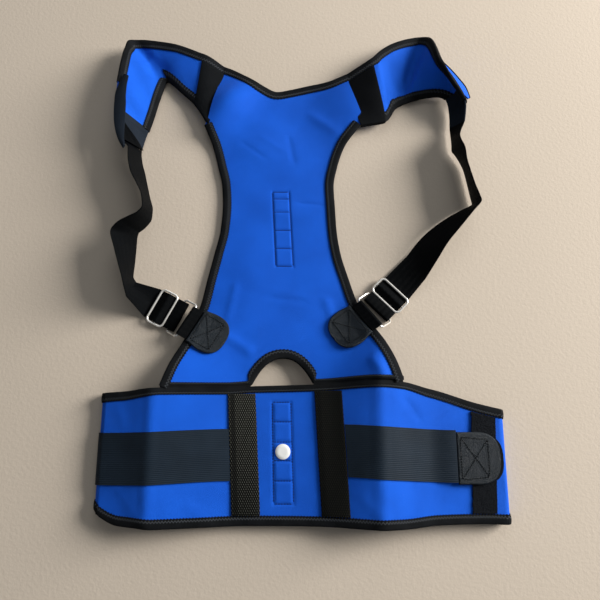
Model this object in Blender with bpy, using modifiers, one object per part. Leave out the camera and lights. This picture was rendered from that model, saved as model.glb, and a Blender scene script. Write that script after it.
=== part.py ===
"""Posture corrector of blue neoprene, lying flat: a back panel with two shoulder wings over a waist belt
whose ends are folded under, black webbing straps with wire sliders and rings, and D-shaped end patches.
Metres, +Z up, +Y towards the neckline. The model is laid out from the seam between panel and belt, on the
centre line of the panel, and moved at the end so that the origin is under the middle of its bounding box.
"""
import math

import bmesh
import bpy
import numpy as np

# Cloth thicknesses and the room left between layers
NEOPRENE = 0.0026
BINDING = 0.0010
BINDING_WIDTH = 0.0090
WEBBING = 0.0014
ELASTIC = 0.0012
LEATHER = 0.0026
FLEECE = 0.0014
GAP = 0.0003
SEAM_GAP = 0.0012

# Back panel
PANEL_LENGTH = 0.360
PANEL_HALF = 0.131
ARCH_WIDTH = 0.0680
ARCH_HEIGHT = 0.0285
ARCH_SIDE = 0.0010
ARCH_POWER = 2.3
PUFF = 0.0100
FADE = 0.062

# Waist belt: half of its width as it lies, and how far its middle is off the panel's centre line
BELT_HALF = 0.2160
BELT_SHIFT = 0.0225
BELT_HEIGHT = 0.1430
BELT_RIDGE = 0.0300
FLAP_LENGTH = 0.1350
STAY_WIDTH = 0.0300
STAY_SLANT = 0.0070
LEFT_STAY = -0.0430
RIGHT_STAY = 0.0510
ELASTIC_WIDTH = 0.0530
ELASTIC_UNDER = 0.0250
ELASTIC_MIDDLE = -0.0730
TAB_LENGTH = 0.0460
TAB_BACK = 0.0535
TAB_DROP = 0.0030
TAB_CLIMB = 0.0300
ELASTIC_SAG = 0.0040
ELASTIC_CLIMB = 0.0060
ELASTIC_DROP = 0.0010
LOOP_BACK = 0.0340
LOOP_WIDTH = 0.0255
LOOP_SLANT = 0.0050
PAD_START = 0.0060
PAD_INSET = 0.0030
PAD_SHORT = 0.0035
STICKER_WIDTH = 0.0180
STICKER_THICKNESS = 0.0006
STICKER_DOWN = 0.0700
STICKER_SIDE = 0.0022

# Shoulder wings: reach from the centre line, rise above the belt seam, height of the standing edge
WING_REACH = 0.220
WING_RISE = 0.430
WING_LIFT = 0.036

# Straps, sliders, rings and end patches
STRAP_WIDTH = 0.0360
WIRE = 0.0020
WIRE_ROOM = 0.0006
SLIDER_LENGTH = 0.0200
RING_LENGTH = 0.0190
RING_AT = 0.0166
RING_ROOM = 0.0018
PIVOT_AT = 0.0200
FOLD_AT = 0.0212
PATCH_AT = 0.0445
PATCH_LENGTH = 0.0380
PATCH_HALF = 0.0225
PATCH_SETTLE = 0.0120
BUCKLE_RUN = 0.0060
# Each slider's middle, the strap's heading through it, and the heading of its ring and patch
LEFT_BUCKLE = (-0.1353, 0.0862, -27.5, -29.0)
RIGHT_BUCKLE = (0.1228, 0.1006, -134.5, -144.5)

# Half of each side of the panel: rise over PANEL_LENGTH, left and right edge over PANEL_HALF
PANEL_SIDES = (
    (0.000, 0.985, 0.992), (0.069, 0.916, 0.922), (0.136, 0.824, 0.836), (0.194, 0.760, 0.746),
    (0.258, 0.695, 0.649), (0.339, 0.645, 0.573), (0.422, 0.592, 0.506), (0.500, 0.547, 0.475),
    (0.578, 0.533, 0.463), (0.653, 0.545, 0.454), (0.722, 0.588, 0.489), (0.792, 0.639, 0.557),
    (0.867, 0.722, 0.710),
)
# The seams to the wings, from the notch up: rise over PANEL_LENGTH, distance over PANEL_HALF
LEFT_SEAM = ((0.876, 0.702), (0.900, 0.684), (1.050, 0.592), (1.094, 0.573))
RIGHT_SEAM = ((0.864, 0.748), (0.900, 0.728), (1.010, 0.620), (1.050, 0.600))
# Share of a seam's length that the neckline's binding covers
NECK_SHARE = 0.115
# The neckline: distance over PANEL_HALF, rise over PANEL_LENGTH
NECKLINE = (
    (-0.573, 1.094), (-0.481, 1.079), (-0.298, 1.034), (-0.186, 1.012), (-0.061, 0.996),
    (0.069, 1.004), (0.229, 1.016), (0.427, 1.027), (0.600, 1.050),
)
# Soft rises of the panel: middle over PANEL_HALF and PANEL_LENGTH, height over PUFF,
# spread along and across over PANEL_HALF, turn in degrees
PANEL_RISES = (
    (-0.500, 0.945, 0.95, 0.40, 0.16, 46.0), (0.700, 0.960, 1.10, 0.50, 0.34, 104.0),
    (-0.200, 0.800, 0.28, 0.30, 0.22, -35.0), (0.180, 0.560, 0.14, 0.35, 0.10, 2.0),
    (-0.560, 0.960, 0.55, 0.22, 0.30, 104.0), (-0.330, 0.330, 0.18, 0.45, 0.25, 70.0),
)

# The belt across: distance from its middle over BELT_HALF, height over BELT_RIDGE
BELT_RELIEF = (
    (-1.000, 0.36), (-0.860, 0.58), (-0.706, 0.84), (-0.498, 0.52), (-0.289, 0.31), (-0.104, 0.34),
    (0.127, 0.62), (0.382, 1.00), (0.544, 0.66), (0.683, 0.46), (0.845, 0.38), (1.000, 0.36),
)
# Its upper and lower edges, from its top: distance over BELT_HALF, both drops over BELT_HEIGHT
BELT_EDGES = (
    (-1.000, 0.032, 0.868), (-0.970, 0.030, 0.913), (-0.873, 0.026, 0.968), (-0.775, 0.008, 0.976),
    (-0.699, 0.000, 0.984), (-0.104, 0.000, 0.976), (0.382, 0.000, 0.980), (0.488, 0.002, 0.982),
    (0.646, 0.034, 0.966), (0.877, 0.128, 0.962), (1.000, 0.168, 0.968),
)

# Wings, a row for each section across: inner edge x, y, z and outer edge x, y, z over WING_REACH,
# WING_RISE and WING_LIFT, and how far the middle bulges outwards and up over WING_LIFT
LEFT_WING = (
    (0.491, 0.791, 0.22, 0.450, 0.953, 0.44, 0.00, 0.04),
    (0.566, 0.829, 0.17, 0.618, 0.981, 0.40, 0.00, 0.03),
    (0.625, 0.860, 0.12, 0.745, 0.994, 0.34, 0.00, 0.00),
    (0.650, 0.872, 0.08, 0.815, 0.993, 0.28, 0.00, -0.04),
    (0.666, 0.872, 0.08, 0.873, 0.978, 0.50, 0.00, 0.00),
    (0.683, 0.845, 0.08, 0.884, 0.932, 0.68, 0.00, 0.02),
    (0.704, 0.805, 0.09, 0.888, 0.872, 0.84, 0.00, 0.03),
    (0.724, 0.760, 0.10, 0.892, 0.812, 0.92, 0.00, 0.02),
    (0.743, 0.722, 0.11, 0.896, 0.765, 0.92, 0.00, 0.00),
    (0.760, 0.690, 0.12, 0.900, 0.718, 0.88, -0.02, 0.00),
    (0.777, 0.652, 0.14, 0.878, 0.664, 0.78, -0.03, 0.00),
)
RIGHT_WING = (
    (0.564, 0.737, 0.28, 0.493, 0.916, 0.56, 0.00, 0.10),
    (0.589, 0.753, 0.20, 0.541, 0.942, 0.53, 0.00, 0.06),
    (0.612, 0.775, 0.14, 0.615, 0.970, 0.46, 0.00, 0.04),
    (0.640, 0.790, 0.10, 0.710, 0.992, 0.36, 0.00, 0.00),
    (0.662, 0.797, 0.09, 0.770, 0.998, 0.34, 0.00, -0.04),
    (0.690, 0.803, 0.09, 0.822, 0.982, 0.58, 0.00, 0.00),
    (0.741, 0.812, 0.10, 0.838, 0.945, 0.82, 0.00, 0.03),
    (0.809, 0.820, 0.12, 0.848, 0.905, 0.95, 0.04, 0.03),
    (0.864, 0.822, 0.14, 0.870, 0.866, 1.00, 0.20, 0.02),
    (0.905, 0.816, 0.12, 0.905, 0.828, 0.98, 0.28, 0.00),
    (0.924, 0.790, 0.11, 0.946, 0.796, 0.93, 0.26, -0.02),
    (0.928, 0.755, 0.10, 0.980, 0.762, 0.82, 0.18, -0.02),
    (0.926, 0.722, 0.10, 0.984, 0.722, 0.60, 0.10, 0.00),
)
# Share of a wing's first row left free beside the panel, and share of its width that its end covers
SEAM_SHARE = 0.075
END_WIDTH = 0.93
# Where the neoprene of each wing ends and its webbing end begins, in rows of these tables
LEFT_END_ROW = 8.3
RIGHT_END_ROW = 10.6

# Straps, a row for each section: left edge x, y, z and right edge x, y, z over WING_REACH, WING_RISE
# and STRAP_WIDTH, from the wing to the buckle
LEFT_STRAP = (
    (0.804, 0.625, 1.02, 0.779, 0.640, 0.12), (0.800, 0.596, 1.04, 0.771, 0.613, 0.10),
    (0.785, 0.560, 1.01, 0.755, 0.585, 0.08), (0.750, 0.525, 1.01, 0.740, 0.553, 0.07),
    (0.719, 0.491, 1.03, 0.720, 0.513, 0.07), (0.710, 0.460, 1.04, 0.702, 0.478, 0.07),
    (0.730, 0.443, 1.05, 0.704, 0.452, 0.07), (0.777, 0.430, 1.04, 0.742, 0.423, 0.07),
    (0.828, 0.417, 1.00, 0.770, 0.410, 0.07), (0.871, 0.393, 0.88, 0.775, 0.394, 0.07),
    (0.844, 0.351, 0.95, 0.776, 0.369, 0.07), (0.809, 0.299, 1.01, 0.779, 0.324, 0.07),
    (0.786, 0.262, 1.01, 0.783, 0.290, 0.07), (0.772, 0.222, 0.80, 0.765, 0.272, 0.07),
)
RIGHT_STRAP = (
    (0.931, 0.676, 0.10, 0.938, 0.664, 0.90), (0.931, 0.655, 0.08, 0.957, 0.625, 0.98),
    (0.952, 0.636, 0.08, 0.963, 0.595, 0.96), (0.987, 0.597, 0.07, 0.973, 0.565, 0.99),
    (1.007, 0.543, 0.07, 0.989, 0.524, 1.04), (1.019, 0.507, 0.07, 1.011, 0.489, 1.04),
    (1.023, 0.494, 0.07, 1.018, 0.474, 1.04), (0.956, 0.475, 0.07, 0.973, 0.445, 1.00),
    (0.878, 0.452, 0.07, 0.912, 0.407, 0.89), (0.794, 0.421, 0.07, 0.848, 0.367, 0.76),
    (0.724, 0.387, 0.07, 0.800, 0.327, 0.60), (0.660, 0.346, 0.07, 0.742, 0.278, 0.32),
)

# Heights that follow from the layers
HALF_BOUND = NEOPRENE / 2 + GAP + BINDING
PANEL_LIE = HALF_BOUND
FLAP_LIE = NEOPRENE / 2 + 2 * GAP + ELASTIC
SEAM_DROP = 0.0030
EDGE_INSET = GAP + BINDING
BELT_TOP = -(SEAM_DROP + EDGE_INSET + 2 * GAP)
TAB_START = BELT_SHIFT + BELT_HALF - TAB_BACK
LOOP_START = BELT_SHIFT + BELT_HALF - LOOP_BACK

# Finishes: colour, roughness, metallic
FINISHES = {
    "neoprene": ((0.012, 0.100, 0.720), 0.75, 0.0),
    "binding": ((0.010, 0.012, 0.014), 0.85, 0.0),
    "webbing": ((0.012, 0.013, 0.015), 0.70, 0.0),
    "elastic": ((0.022, 0.030, 0.040), 0.60, 0.0),
    "leather": ((0.035, 0.038, 0.042), 0.50, 0.0),
    "fleece": ((0.010, 0.010, 0.012), 0.95, 0.0),
    "metal": ((0.720, 0.700, 0.660), 0.22, 1.0),
    "label": ((0.850, 0.850, 0.830), 0.45, 0.0),
}


def clear_scene():
    for thing in list(bpy.data.objects):
        bpy.data.objects.remove(thing, do_unlink=True)


def new_collection(name):
    made = bpy.data.collections.new(name)
    bpy.context.scene.collection.children.link(made)
    return made


def finish(thing, name):
    """Gives the object a Principled material of its own in one of the finishes."""
    colour, roughness, metallic = FINISHES[name]
    material = bpy.data.materials.new(f"{thing.name}_{name}")
    material.use_nodes = True
    shader = material.node_tree.nodes["Principled BSDF"]
    shader.inputs["Base Color"].default_value = (*colour, 1.0)
    shader.inputs["Roughness"].default_value = roughness
    shader.inputs["Metallic"].default_value = metallic
    thing.data.materials.append(material)
    return thing


def smooth(rows, column, at):
    """A column of a table read between its rows along the first column, by a cubic that never overshoots."""
    table = np.array(rows, float)
    xs = table[:, 0]
    ys = table[:, column]
    steps = np.diff(xs)
    slopes = np.diff(ys) / steps
    ends = np.concatenate([[slopes[0]], slopes, [slopes[-1]]])
    before = ends[:-1]
    after = ends[1:]
    same = before * after > 0
    total = np.where(same, before + after, 1.0)
    tangents = np.where(same, 2 * before * after / total, 0.0)
    tangents[0] = slopes[0]
    tangents[-1] = slopes[-1]
    where = np.clip(np.searchsorted(xs, at, side="right") - 1, 0, len(steps) - 1)
    step = steps[where]
    t = np.clip((at - xs[where]) / step, 0.0, 1.0)
    rise = ys[where + 1] - ys[where]
    a = tangents[where] * step - rise
    b = rise - tangents[where + 1] * step
    return ys[where] + t * rise + t * (1 - t) * (a * (1 - t) + b * t)


def by_row(rows, at):
    """All columns of a table read at fractional row numbers."""
    numbered = np.column_stack([np.arange(len(rows)), np.array(rows, float)])
    columns = [smooth(numbered, column, at) for column in range(1, numbered.shape[1])]
    return np.stack(columns, axis=-1)


def ease(t):
    clipped = np.clip(t, 0.0, 1.0)
    return clipped * clipped * (3 - 2 * clipped)


def unit(vectors):
    return vectors / np.linalg.norm(vectors, axis=-1, keepdims=True)


def link(name, mesh, finish_name, collection):
    thing = bpy.data.objects.new(name, mesh)
    collection.objects.link(thing)
    return finish(thing, finish_name)


def cells(rows, columns):
    """Triangles of a grid: each cell is split from its lower row and column to the opposite corner."""
    numbers = np.arange(rows * columns).reshape(rows, columns)
    first = numbers[:-1, :-1].ravel()
    ahead = numbers[1:, :-1].ravel()
    opposite = numbers[1:, 1:].ravel()
    beside = numbers[:-1, 1:].ravel()
    halves = (np.stack([first, ahead, opposite], axis=1), np.stack([first, opposite, beside], axis=1))
    return np.concatenate(halves)


def cloth_normals(points):
    """Upward normals at the points of a cloth's grid, which are those that Solidify takes: the mean over
    the faces that meet there, weighted by their angles."""
    flat = points.reshape(-1, 3)
    faces = cells(*points.shape[:2])
    total = np.zeros(flat.shape)
    for corner in range(3):
        here = flat[faces[:, corner]]
        first = unit(flat[faces[:, (corner + 1) % 3]] - here)
        second = unit(flat[faces[:, (corner + 2) % 3]] - here)
        angle = np.arccos(np.clip(np.sum(first * second, axis=1), -1.0, 1.0))
        np.add.at(total, faces[:, corner], unit(np.cross(first, second)) * angle[:, None])
    normals = unit(total).reshape(points.shape)
    return normals * np.sign(np.mean(normals[..., 2]))


def sheet(name, points, thickness, finish_name, collection):
    """A cloth wall: the open surface through a grid of points, thickened both ways by Solidify."""
    faces = cells(*points.shape[:2])
    mesh = bpy.data.meshes.new(name)
    mesh.from_pydata(points.reshape(-1, 3).tolist(), [], faces.tolist())
    thing = link(name, mesh, finish_name, collection)
    wall = thing.modifiers.new("wall", "SOLIDIFY")
    wall.thickness = thickness
    wall.offset = 0.0
    return thing


def loft(name, rings, leans, finish_name, collection):
    """A closed solid through rings of equally many points, capped at both ends. Each side of it is split
    from its first point ahead to its second one where leans is true, and the other way where it is not."""
    shape = bmesh.new()
    verts = [[shape.verts.new(point) for point in ring] for ring in rings.tolist()]
    for ring, following in zip(verts, verts[1:]):
        for i, lean in enumerate(leans):
            j = (i + 1) % len(leans)
            if lean:
                shape.faces.new((ring[i], ring[j], following[j]))
                shape.faces.new((ring[i], following[j], following[i]))
            else:
                shape.faces.new((ring[i], ring[j], following[i]))
                shape.faces.new((ring[j], following[j], following[i]))
    shape.faces.new(verts[0])
    shape.faces.new(verts[-1])
    bmesh.ops.recalc_face_normals(shape, faces=shape.faces[:])
    mesh = bpy.data.meshes.new(name)
    shape.to_mesh(mesh)
    shape.free()
    return link(name, mesh, finish_name, collection)


def binding(name, legs, normals, first, collection):
    """A binding folded over a cloth edge: a U section whose legs run over the cloth's own cells, from its
    edge inwards, on both faces, and whose web stands just outside the edge. First tells whether that edge
    is the first row or column of the cloth's grid, so that both split their cells the same way."""
    low = NEOPRENE / 2 + GAP
    high = low + BINDING
    tangent = unit(np.gradient(legs[:, 0], axis=0))
    inward = unit(legs[:, 1] - legs[:, 0])
    square = unit(inward - tangent * np.sum(inward * tangent, axis=1, keepdims=True))
    outward = -inward / np.sum(inward * square, axis=1, keepdims=True)
    edge = legs[:, :1] + outward[:, None, :] * EDGE_INSET
    shut = legs[:, :1] + outward[:, None, :] * 2 * GAP
    outer = np.concatenate([edge, legs[:, 1:]], axis=1)
    inner = np.concatenate([shut, legs[:, 1:]], axis=1)
    rings = np.concatenate(
        [
            (outer + normals * high)[:, ::-1],
            outer - normals * high,
            (inner - normals * low)[:, ::-1],
            inner + normals * low,
        ],
        axis=1,
    )
    leans = [not first, first] * 4
    return loft(name, rings, [leans[i // 2] for i in range(8)], "binding", collection)


def edge_binding(name, legs, normals, first, start, end, collection):
    """A binding over an edge of a cloth's grid, shortened at its ends by the given lengths."""
    pieces = np.linalg.norm(np.diff(legs[:, 0], axis=0), axis=1)
    along = np.concatenate([[0.0], np.cumsum(pieces)])
    kept = along[(along > start + GAP) & (along < along[-1] - end - GAP)]
    at = np.concatenate([[start], kept, [along[-1] - end]])
    both = np.concatenate([legs, normals], axis=2).reshape(len(legs), -1)
    trimmed = np.stack([np.interp(at, along, column) for column in both.T], axis=1).reshape(-1, 2, 6)
    binding(name, trimmed[..., :3], unit(trimmed[..., 3:]), first, collection)


def mitred_normals(line, side):
    """Plan directions square to a line of points, mitred at its corners, towards its left for side 1."""
    pieces = unit(np.diff(line, axis=0))
    square = np.stack([-pieces[:, 1], pieces[:, 0]], axis=1) * side
    first = np.concatenate([square[:1], square])
    second = np.concatenate([square, square[-1:]])
    middle = unit(first + second)
    return middle / np.sum(middle * first, axis=1, keepdims=True)


# Heights of the cloth

def belt_relief(x):
    """Height of the belt's front layer, which rises in two ridges over the ends folded below it."""
    share = (x - BELT_SHIFT) / BELT_HALF
    return BELT_RIDGE * smooth(BELT_RELIEF, 1, np.clip(share, -1.0, 1.0))


def panel_height(x, y):
    """Height of the panel: the belt's ridges fading out above the seam, and the panel's own soft rises."""
    fading = 1 - ease(y / FADE)
    height = PANEL_LIE + (belt_relief(x) - PANEL_LIE) * fading
    for across, up, share, along, wide, turn in PANEL_RISES:
        angle = math.radians(turn)
        dx = x - across * PANEL_HALF
        dy = y - up * PANEL_LENGTH
        a = (dx * math.cos(angle) + dy * math.sin(angle)) / (along * PANEL_HALF)
        b = (dy * math.cos(angle) - dx * math.sin(angle)) / (wide * PANEL_HALF)
        height = height + PUFF * share * np.exp(-a * a - b * b)
    return height


def on_panel(x, y):
    """Points of the panel's middle surface, and its normals there."""
    step = 0.0005
    points = np.stack([x, y, panel_height(x, y)], axis=-1)
    slope_x = (panel_height(x + step, y) - panel_height(x - step, y)) / (2 * step)
    slope_y = (panel_height(x, y + step) - panel_height(x, y - step)) / (2 * step)
    return points, unit(np.stack([-slope_x, -slope_y, np.ones_like(slope_x)], axis=-1))


def on_belt(x, y):
    """Points of the belt's front layer, and its normals there."""
    step = 0.0005
    slope = (belt_relief(x + step) - belt_relief(x - step)) / (2 * step)
    points = np.stack([x, y, belt_relief(x)], axis=-1)
    return points, unit(np.stack([-slope, np.zeros_like(slope), np.ones_like(slope)], axis=-1))


# The back panel

def panel_grid():
    """Grid of the panel: rows up the sides to the notches and on up the seams, columns from side to side."""
    top = PANEL_SIDES[-1][0]
    hem = BINDING_WIDTH / PANEL_LENGTH / top
    fade = FADE / PANEL_LENGTH / top
    side = np.concatenate([[0.0], np.linspace(hem, 1.5 * fade, 8), np.linspace(1.5 * fade, 1.0, 10)[1:]])
    notch_row = len(side)
    seam = np.concatenate([np.linspace(0.0, 1 - NECK_SHARE, 5)[1:], [1.0]])
    edges = []
    for column, seam_rows, sign in ((1, LEFT_SEAM, -1), (2, RIGHT_SEAM, 1)):
        table = np.array(seam_rows)
        rise_side = side * top
        rise_seam = table[0, 0] + (table[-1, 0] - table[0, 0]) * seam
        x_side = smooth(PANEL_SIDES, column, rise_side)
        x_seam = np.interp(rise_seam, table[:, 0], table[:, 1])
        x = sign * PANEL_HALF * np.concatenate([x_side, x_seam])
        y = PANEL_LENGTH * np.concatenate([rise_side, rise_seam])
        edges.append((x, y))
    (left_x, left_y), (right_x, right_y) = edges
    middle = ARCH_SIDE
    feet = (middle - ARCH_WIDTH / 2, middle + ARCH_WIDTH / 2)
    inside = np.linspace(feet[0], feet[1], 11)
    before = np.linspace(left_x[0] + BINDING_WIDTH, feet[0], 6)[:-1]
    after = np.linspace(feet[1], right_x[0] - BINDING_WIDTH, 6)[1:]
    bottom_x = np.concatenate([left_x[:1], before, inside, after, right_x[:1]])
    span = (right_x - left_x)[:, None]
    share = (bottom_x - left_x[0])[None, :] / span[0]
    inner = (share - share[0, 1]) / (share[0, -2] - share[0, 1])
    left_bound = BINDING_WIDTH * np.hypot(1.0, np.gradient(left_x, left_y))[:, None] / span
    right_bound = BINDING_WIDTH * np.hypot(1.0, np.gradient(right_x, right_y))[:, None] / span
    across = left_bound + (1 - left_bound - right_bound) * inner
    across[:, 0] = 0.0
    across[:, -1] = 1.0
    x = left_x[:, None] + span * across
    y = left_y[:, None] + (right_y - left_y)[:, None] * across
    neck = PANEL_LENGTH * smooth(NECKLINE, 1, x[-1] / PANEL_HALF) - y[-1]
    reach = ease((np.arange(len(left_y)) / (len(left_y) - 1) - 0.55) / 0.45)
    y = y + neck[None, :] * reach[:, None]
    arch = 1 - np.clip(np.abs(2 * (bottom_x - middle) / ARCH_WIDTH), 0.0, 1.0) ** ARCH_POWER
    low = 1 - ease(y / PANEL_LENGTH / 0.45)
    y = y + ARCH_HEIGHT * arch[None, :] * low - SEAM_DROP * low
    for row, bound, side in ((0, 1, 1), (-1, -2, -1)):
        line = np.stack([x[row], y[row]], axis=1)
        inner_line = line + mitred_normals(line, side) * BINDING_WIDTH
        x[bound, 2:-2] = inner_line[2:-2, 0]
        y[bound, 2:-2] = inner_line[2:-2, 1]
    return x, y, notch_row


def build_panel(collection):
    x, y, notch_row = panel_grid()
    points, _ = on_panel(x, y)
    normals = cloth_normals(points)
    sheet("back_panel", points, NEOPRENE, "neoprene", collection)
    clear = BINDING_WIDTH + 2 * EDGE_INSET + GAP
    foot = EDGE_INSET
    top = 2 * EDGE_INSET
    both = np.concatenate([points, normals], axis=2)
    sides = both[:notch_row]
    upright = both.transpose(1, 0, 2)
    for name, legs, first, start, end in (
        ("panel_binding_left", sides[:, :2], True, foot, top),
        ("panel_binding_right", sides[:, :-3:-1], False, foot, top),
        ("hem_binding", upright[:, :2], True, clear, clear),
        ("neckline_binding", upright[:, :-3:-1], False, SEAM_GAP, SEAM_GAP),
    ):
        edge_binding(name, legs[..., :3], legs[..., 3:], first, start, end, collection)


# The belt

def belt_edges(x):
    share = np.clip((x - BELT_SHIFT) / BELT_HALF, -1.0, 1.0)
    top = BELT_TOP - BELT_HEIGHT * smooth(BELT_EDGES, 1, share)
    bottom = BELT_TOP - BELT_HEIGHT * smooth(BELT_EDGES, 2, share)
    return top - EDGE_INSET, bottom + EDGE_INSET


def belt_line():
    """The belt seen from its lower edge: x, z and outward normals, from the left end under the front
    layer, round the left fold, over the front and round the right fold to the right end."""
    fold_height = BELT_RIDGE * BELT_RELIEF[0][1]
    radius = (fold_height - FLAP_LIE) / 2
    left = BELT_SHIFT - BELT_HALF + radius
    right = BELT_SHIFT + BELT_HALF - radius
    flap = np.linspace(0.0, 1.0, 3)
    turn = np.linspace(0.0, math.pi, 6)[1:-1]
    front = np.linspace(left, right, 31)
    middle = (fold_height + FLAP_LIE) / 2
    x = np.concatenate(
        [
            left + FLAP_LENGTH * (1 - flap),
            left - radius * np.sin(turn),
            front,
            right + radius * np.sin(turn),
            right - FLAP_LENGTH * flap,
        ]
    )
    z = np.concatenate(
        [
            np.full(3, FLAP_LIE),
            middle - radius * np.cos(turn),
            belt_relief(front),
            middle + radius * np.cos(turn),
            np.full(3, FLAP_LIE),
        ]
    )
    step = np.gradient(np.stack([x, z], axis=1), axis=0)
    normals = unit(np.stack([-step[:, 1], np.zeros(len(x)), step[:, 0]], axis=1))
    return x, z, normals


def build_belt(collection):
    x, z, _ = belt_line()
    top, bottom = belt_edges(x)
    rows = np.stack([top, top - BINDING_WIDTH, bottom + BINDING_WIDTH, bottom], axis=1)
    points = np.stack([np.tile(x[:, None], 4), rows, np.tile(z[:, None], 4)], axis=-1)
    sheet("belt", points, NEOPRENE, "neoprene", collection)
    normals = cloth_normals(points)
    binding("belt_binding_top", points[:, :2], normals[:, :2], True, collection)
    binding("belt_binding_bottom", points[:, :-3:-1], normals[:, :-3:-1], False, collection)


def belt_piece(name, left, right, y, lift, thickness, finish_name, collection, columns=5):
    """A piece lying on the belt's front between two lines of x, at rows of y, raised by lift."""
    across = np.linspace(0.0, 1.0, columns)[None, :]
    x = left[:, None] + (right - left)[:, None] * across
    rows = np.broadcast_to(np.reshape(y, (len(left), -1)), x.shape)
    points, normals = on_belt(x, rows)
    height = np.broadcast_to(np.asarray(lift), x.shape)[..., None]
    return sheet(name, (points + normals * height)[:, ::-1], thickness, finish_name, collection)


def build_stays(collection):
    rise = NEOPRENE / 2 + GAP + WEBBING / 2
    for name, middle in (("stay_band_left", LEFT_STAY), ("stay_band_right", RIGHT_STAY)):
        ends = belt_relief(np.array([middle - STAY_WIDTH / 2, middle + STAY_WIDTH / 2]))
        half = STAY_WIDTH / 2 * math.cos(math.atan2(ends[1] - ends[0], STAY_WIDTH))
        top, bottom = belt_edges(np.array([middle]))
        down = np.linspace(top[0] - BINDING_WIDTH - GAP, bottom[0] + BINDING_WIDTH + GAP, 4)
        slant = STAY_SLANT * (0.5 + (down - down.mean()) / (down[-1] - down[0]))
        left = middle - half + slant
        right = middle + half + slant
        belt_piece(name, left, right, down, rise, WEBBING, "webbing", collection)


def stay_edge(middle, side, y):
    """x of a stay band's edge beside the elastic, at height y."""
    top, bottom = belt_edges(np.array([middle]))
    share = (top[0] - BINDING_WIDTH - y) / (top[0] - bottom[0] - 2 * BINDING_WIDTH)
    return middle + side * (STAY_WIDTH / 2 + GAP) + STAY_SLANT * share


def build_elastics(collection):
    """The left elastic goes round the left fold and ends below it, the right one ends in the tab."""
    rise = NEOPRENE / 2 + GAP + ELASTIC / 2
    x, z, normals = belt_line()
    left = BELT_SHIFT - BELT_HALF
    columns = 4
    end = stay_edge(LEFT_STAY, -1, ELASTIC_MIDDLE)
    first = np.argmax(x < left + ELASTIC_UNDER)
    last = np.argmax((x > end - STAY_SLANT) & (np.arange(len(x)) > first + 4))
    line = np.stack([x, np.zeros(len(x)), z], axis=1)[first:last]
    sag = ELASTIC_SAG * ease((end - line[:, 0]) / (end - left))
    width = np.linspace(-0.5, 0.5, columns) * ELASTIC_WIDTH + ELASTIC_MIDDLE
    points = (line + normals[first:last] * rise)[:, None, :].repeat(columns, axis=1)
    points[..., 1] = width[None, :] - sag[:, None]
    tips, upwards = on_belt(stay_edge(LEFT_STAY, -1, width), width)
    points = np.concatenate([points, (tips + upwards * rise)[None]])
    sheet("elastic_left", points, ELASTIC, "elastic", collection)
    width = np.linspace(0.5, -0.5, columns) * ELASTIC_WIDTH + ELASTIC_MIDDLE
    start = stay_edge(RIGHT_STAY, 1, width)
    along = np.linspace(0.0, 1.0, 13)[None, :]
    rows = width[:, None] + ELASTIC_CLIMB * (1 - ease(along)) - ELASTIC_DROP
    ends = np.full(columns, TAB_START - GAP)
    stations = start[:, None] + (ends - start)[:, None] * along
    lift = rise + (tab_rise() - rise) * ease((stations - TAB_START + TAB_CLIMB) / TAB_CLIMB)
    belt_piece("elastic_right", start, ends, rows, lift, ELASTIC, "elastic", collection, 13)


def tab_rise():
    """Height of the tab's middle above the belt's middle surface, over the fleece and the hook pad."""
    return NEOPRENE / 2 + GAP + FLEECE + GAP + ELASTIC + GAP + LEATHER / 2


def round_end(length, half, turn_share, count):
    """Stations along a D-shaped piece and its half widths there: straight sides and a rounded end."""
    along = np.linspace(0.0, 1.0, count)
    curved = np.clip((along - turn_share) / (1 - turn_share), 0.0, 0.985)
    return along * length, half * (1 - curved ** 2.6) ** (1 / 2.6)


def build_tab(collection):
    """The leather end tab, the hook pad under it, and the fleece strip that the pad grips."""
    middle = ELASTIC_MIDDLE - TAB_DROP
    along, half = round_end(TAB_LENGTH, ELASTIC_WIDTH / 2, 0.45, 11)
    rows = np.linspace(1.0, -1.0, 4)[:, None] * half[None, :] + middle
    stations = (TAB_START + along)[None, :] * np.ones((4, 1))
    points, normals = on_belt(stations, rows)
    sheet("elastic_tab", points + normals * tab_rise(), LEATHER, "leather", collection)
    pad_start = LOOP_START + PAD_START
    pad_length = BELT_SHIFT + BELT_HALF - PAD_SHORT - pad_start
    along, half = round_end(pad_length, ELASTIC_WIDTH / 2 - PAD_INSET, 0.25, 8)
    rows = np.linspace(1.0, -1.0, 4)[:, None] * half[None, :] + middle - ELASTIC_DROP
    stations = (pad_start + along)[None, :] * np.ones((4, 1))
    points, normals = on_belt(stations, rows)
    rise = NEOPRENE / 2 + GAP + FLEECE + GAP + ELASTIC / 2
    sheet("hook_pad", points + normals * rise, ELASTIC, "fleece", collection)
    down = np.linspace(0.0, 1.0, 4)
    x = LOOP_START - LOOP_SLANT * down
    top_left, bottom_left = belt_edges(x)
    top_right, bottom_right = belt_edges(x + LOOP_WIDTH)
    across = np.linspace(0.0, 1.0, 4)[None, :]
    top = np.array([top_left[0], top_right[0]])
    bottom = np.array([bottom_left[-1], bottom_right[-1]])
    edge = BINDING_WIDTH + 2 * GAP
    left_y = top[0] - edge + (bottom[0] - top[0] + 2 * edge) * down
    right_y = top[1] - edge + (bottom[1] - top[1] + 2 * edge) * down
    rows = left_y[:, None] + (right_y - left_y)[:, None] * across
    belt_piece("loop_strip", x, x + LOOP_WIDTH, rows, NEOPRENE / 2 + GAP + FLEECE / 2, FLEECE, "fleece",
               collection, 4)


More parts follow.
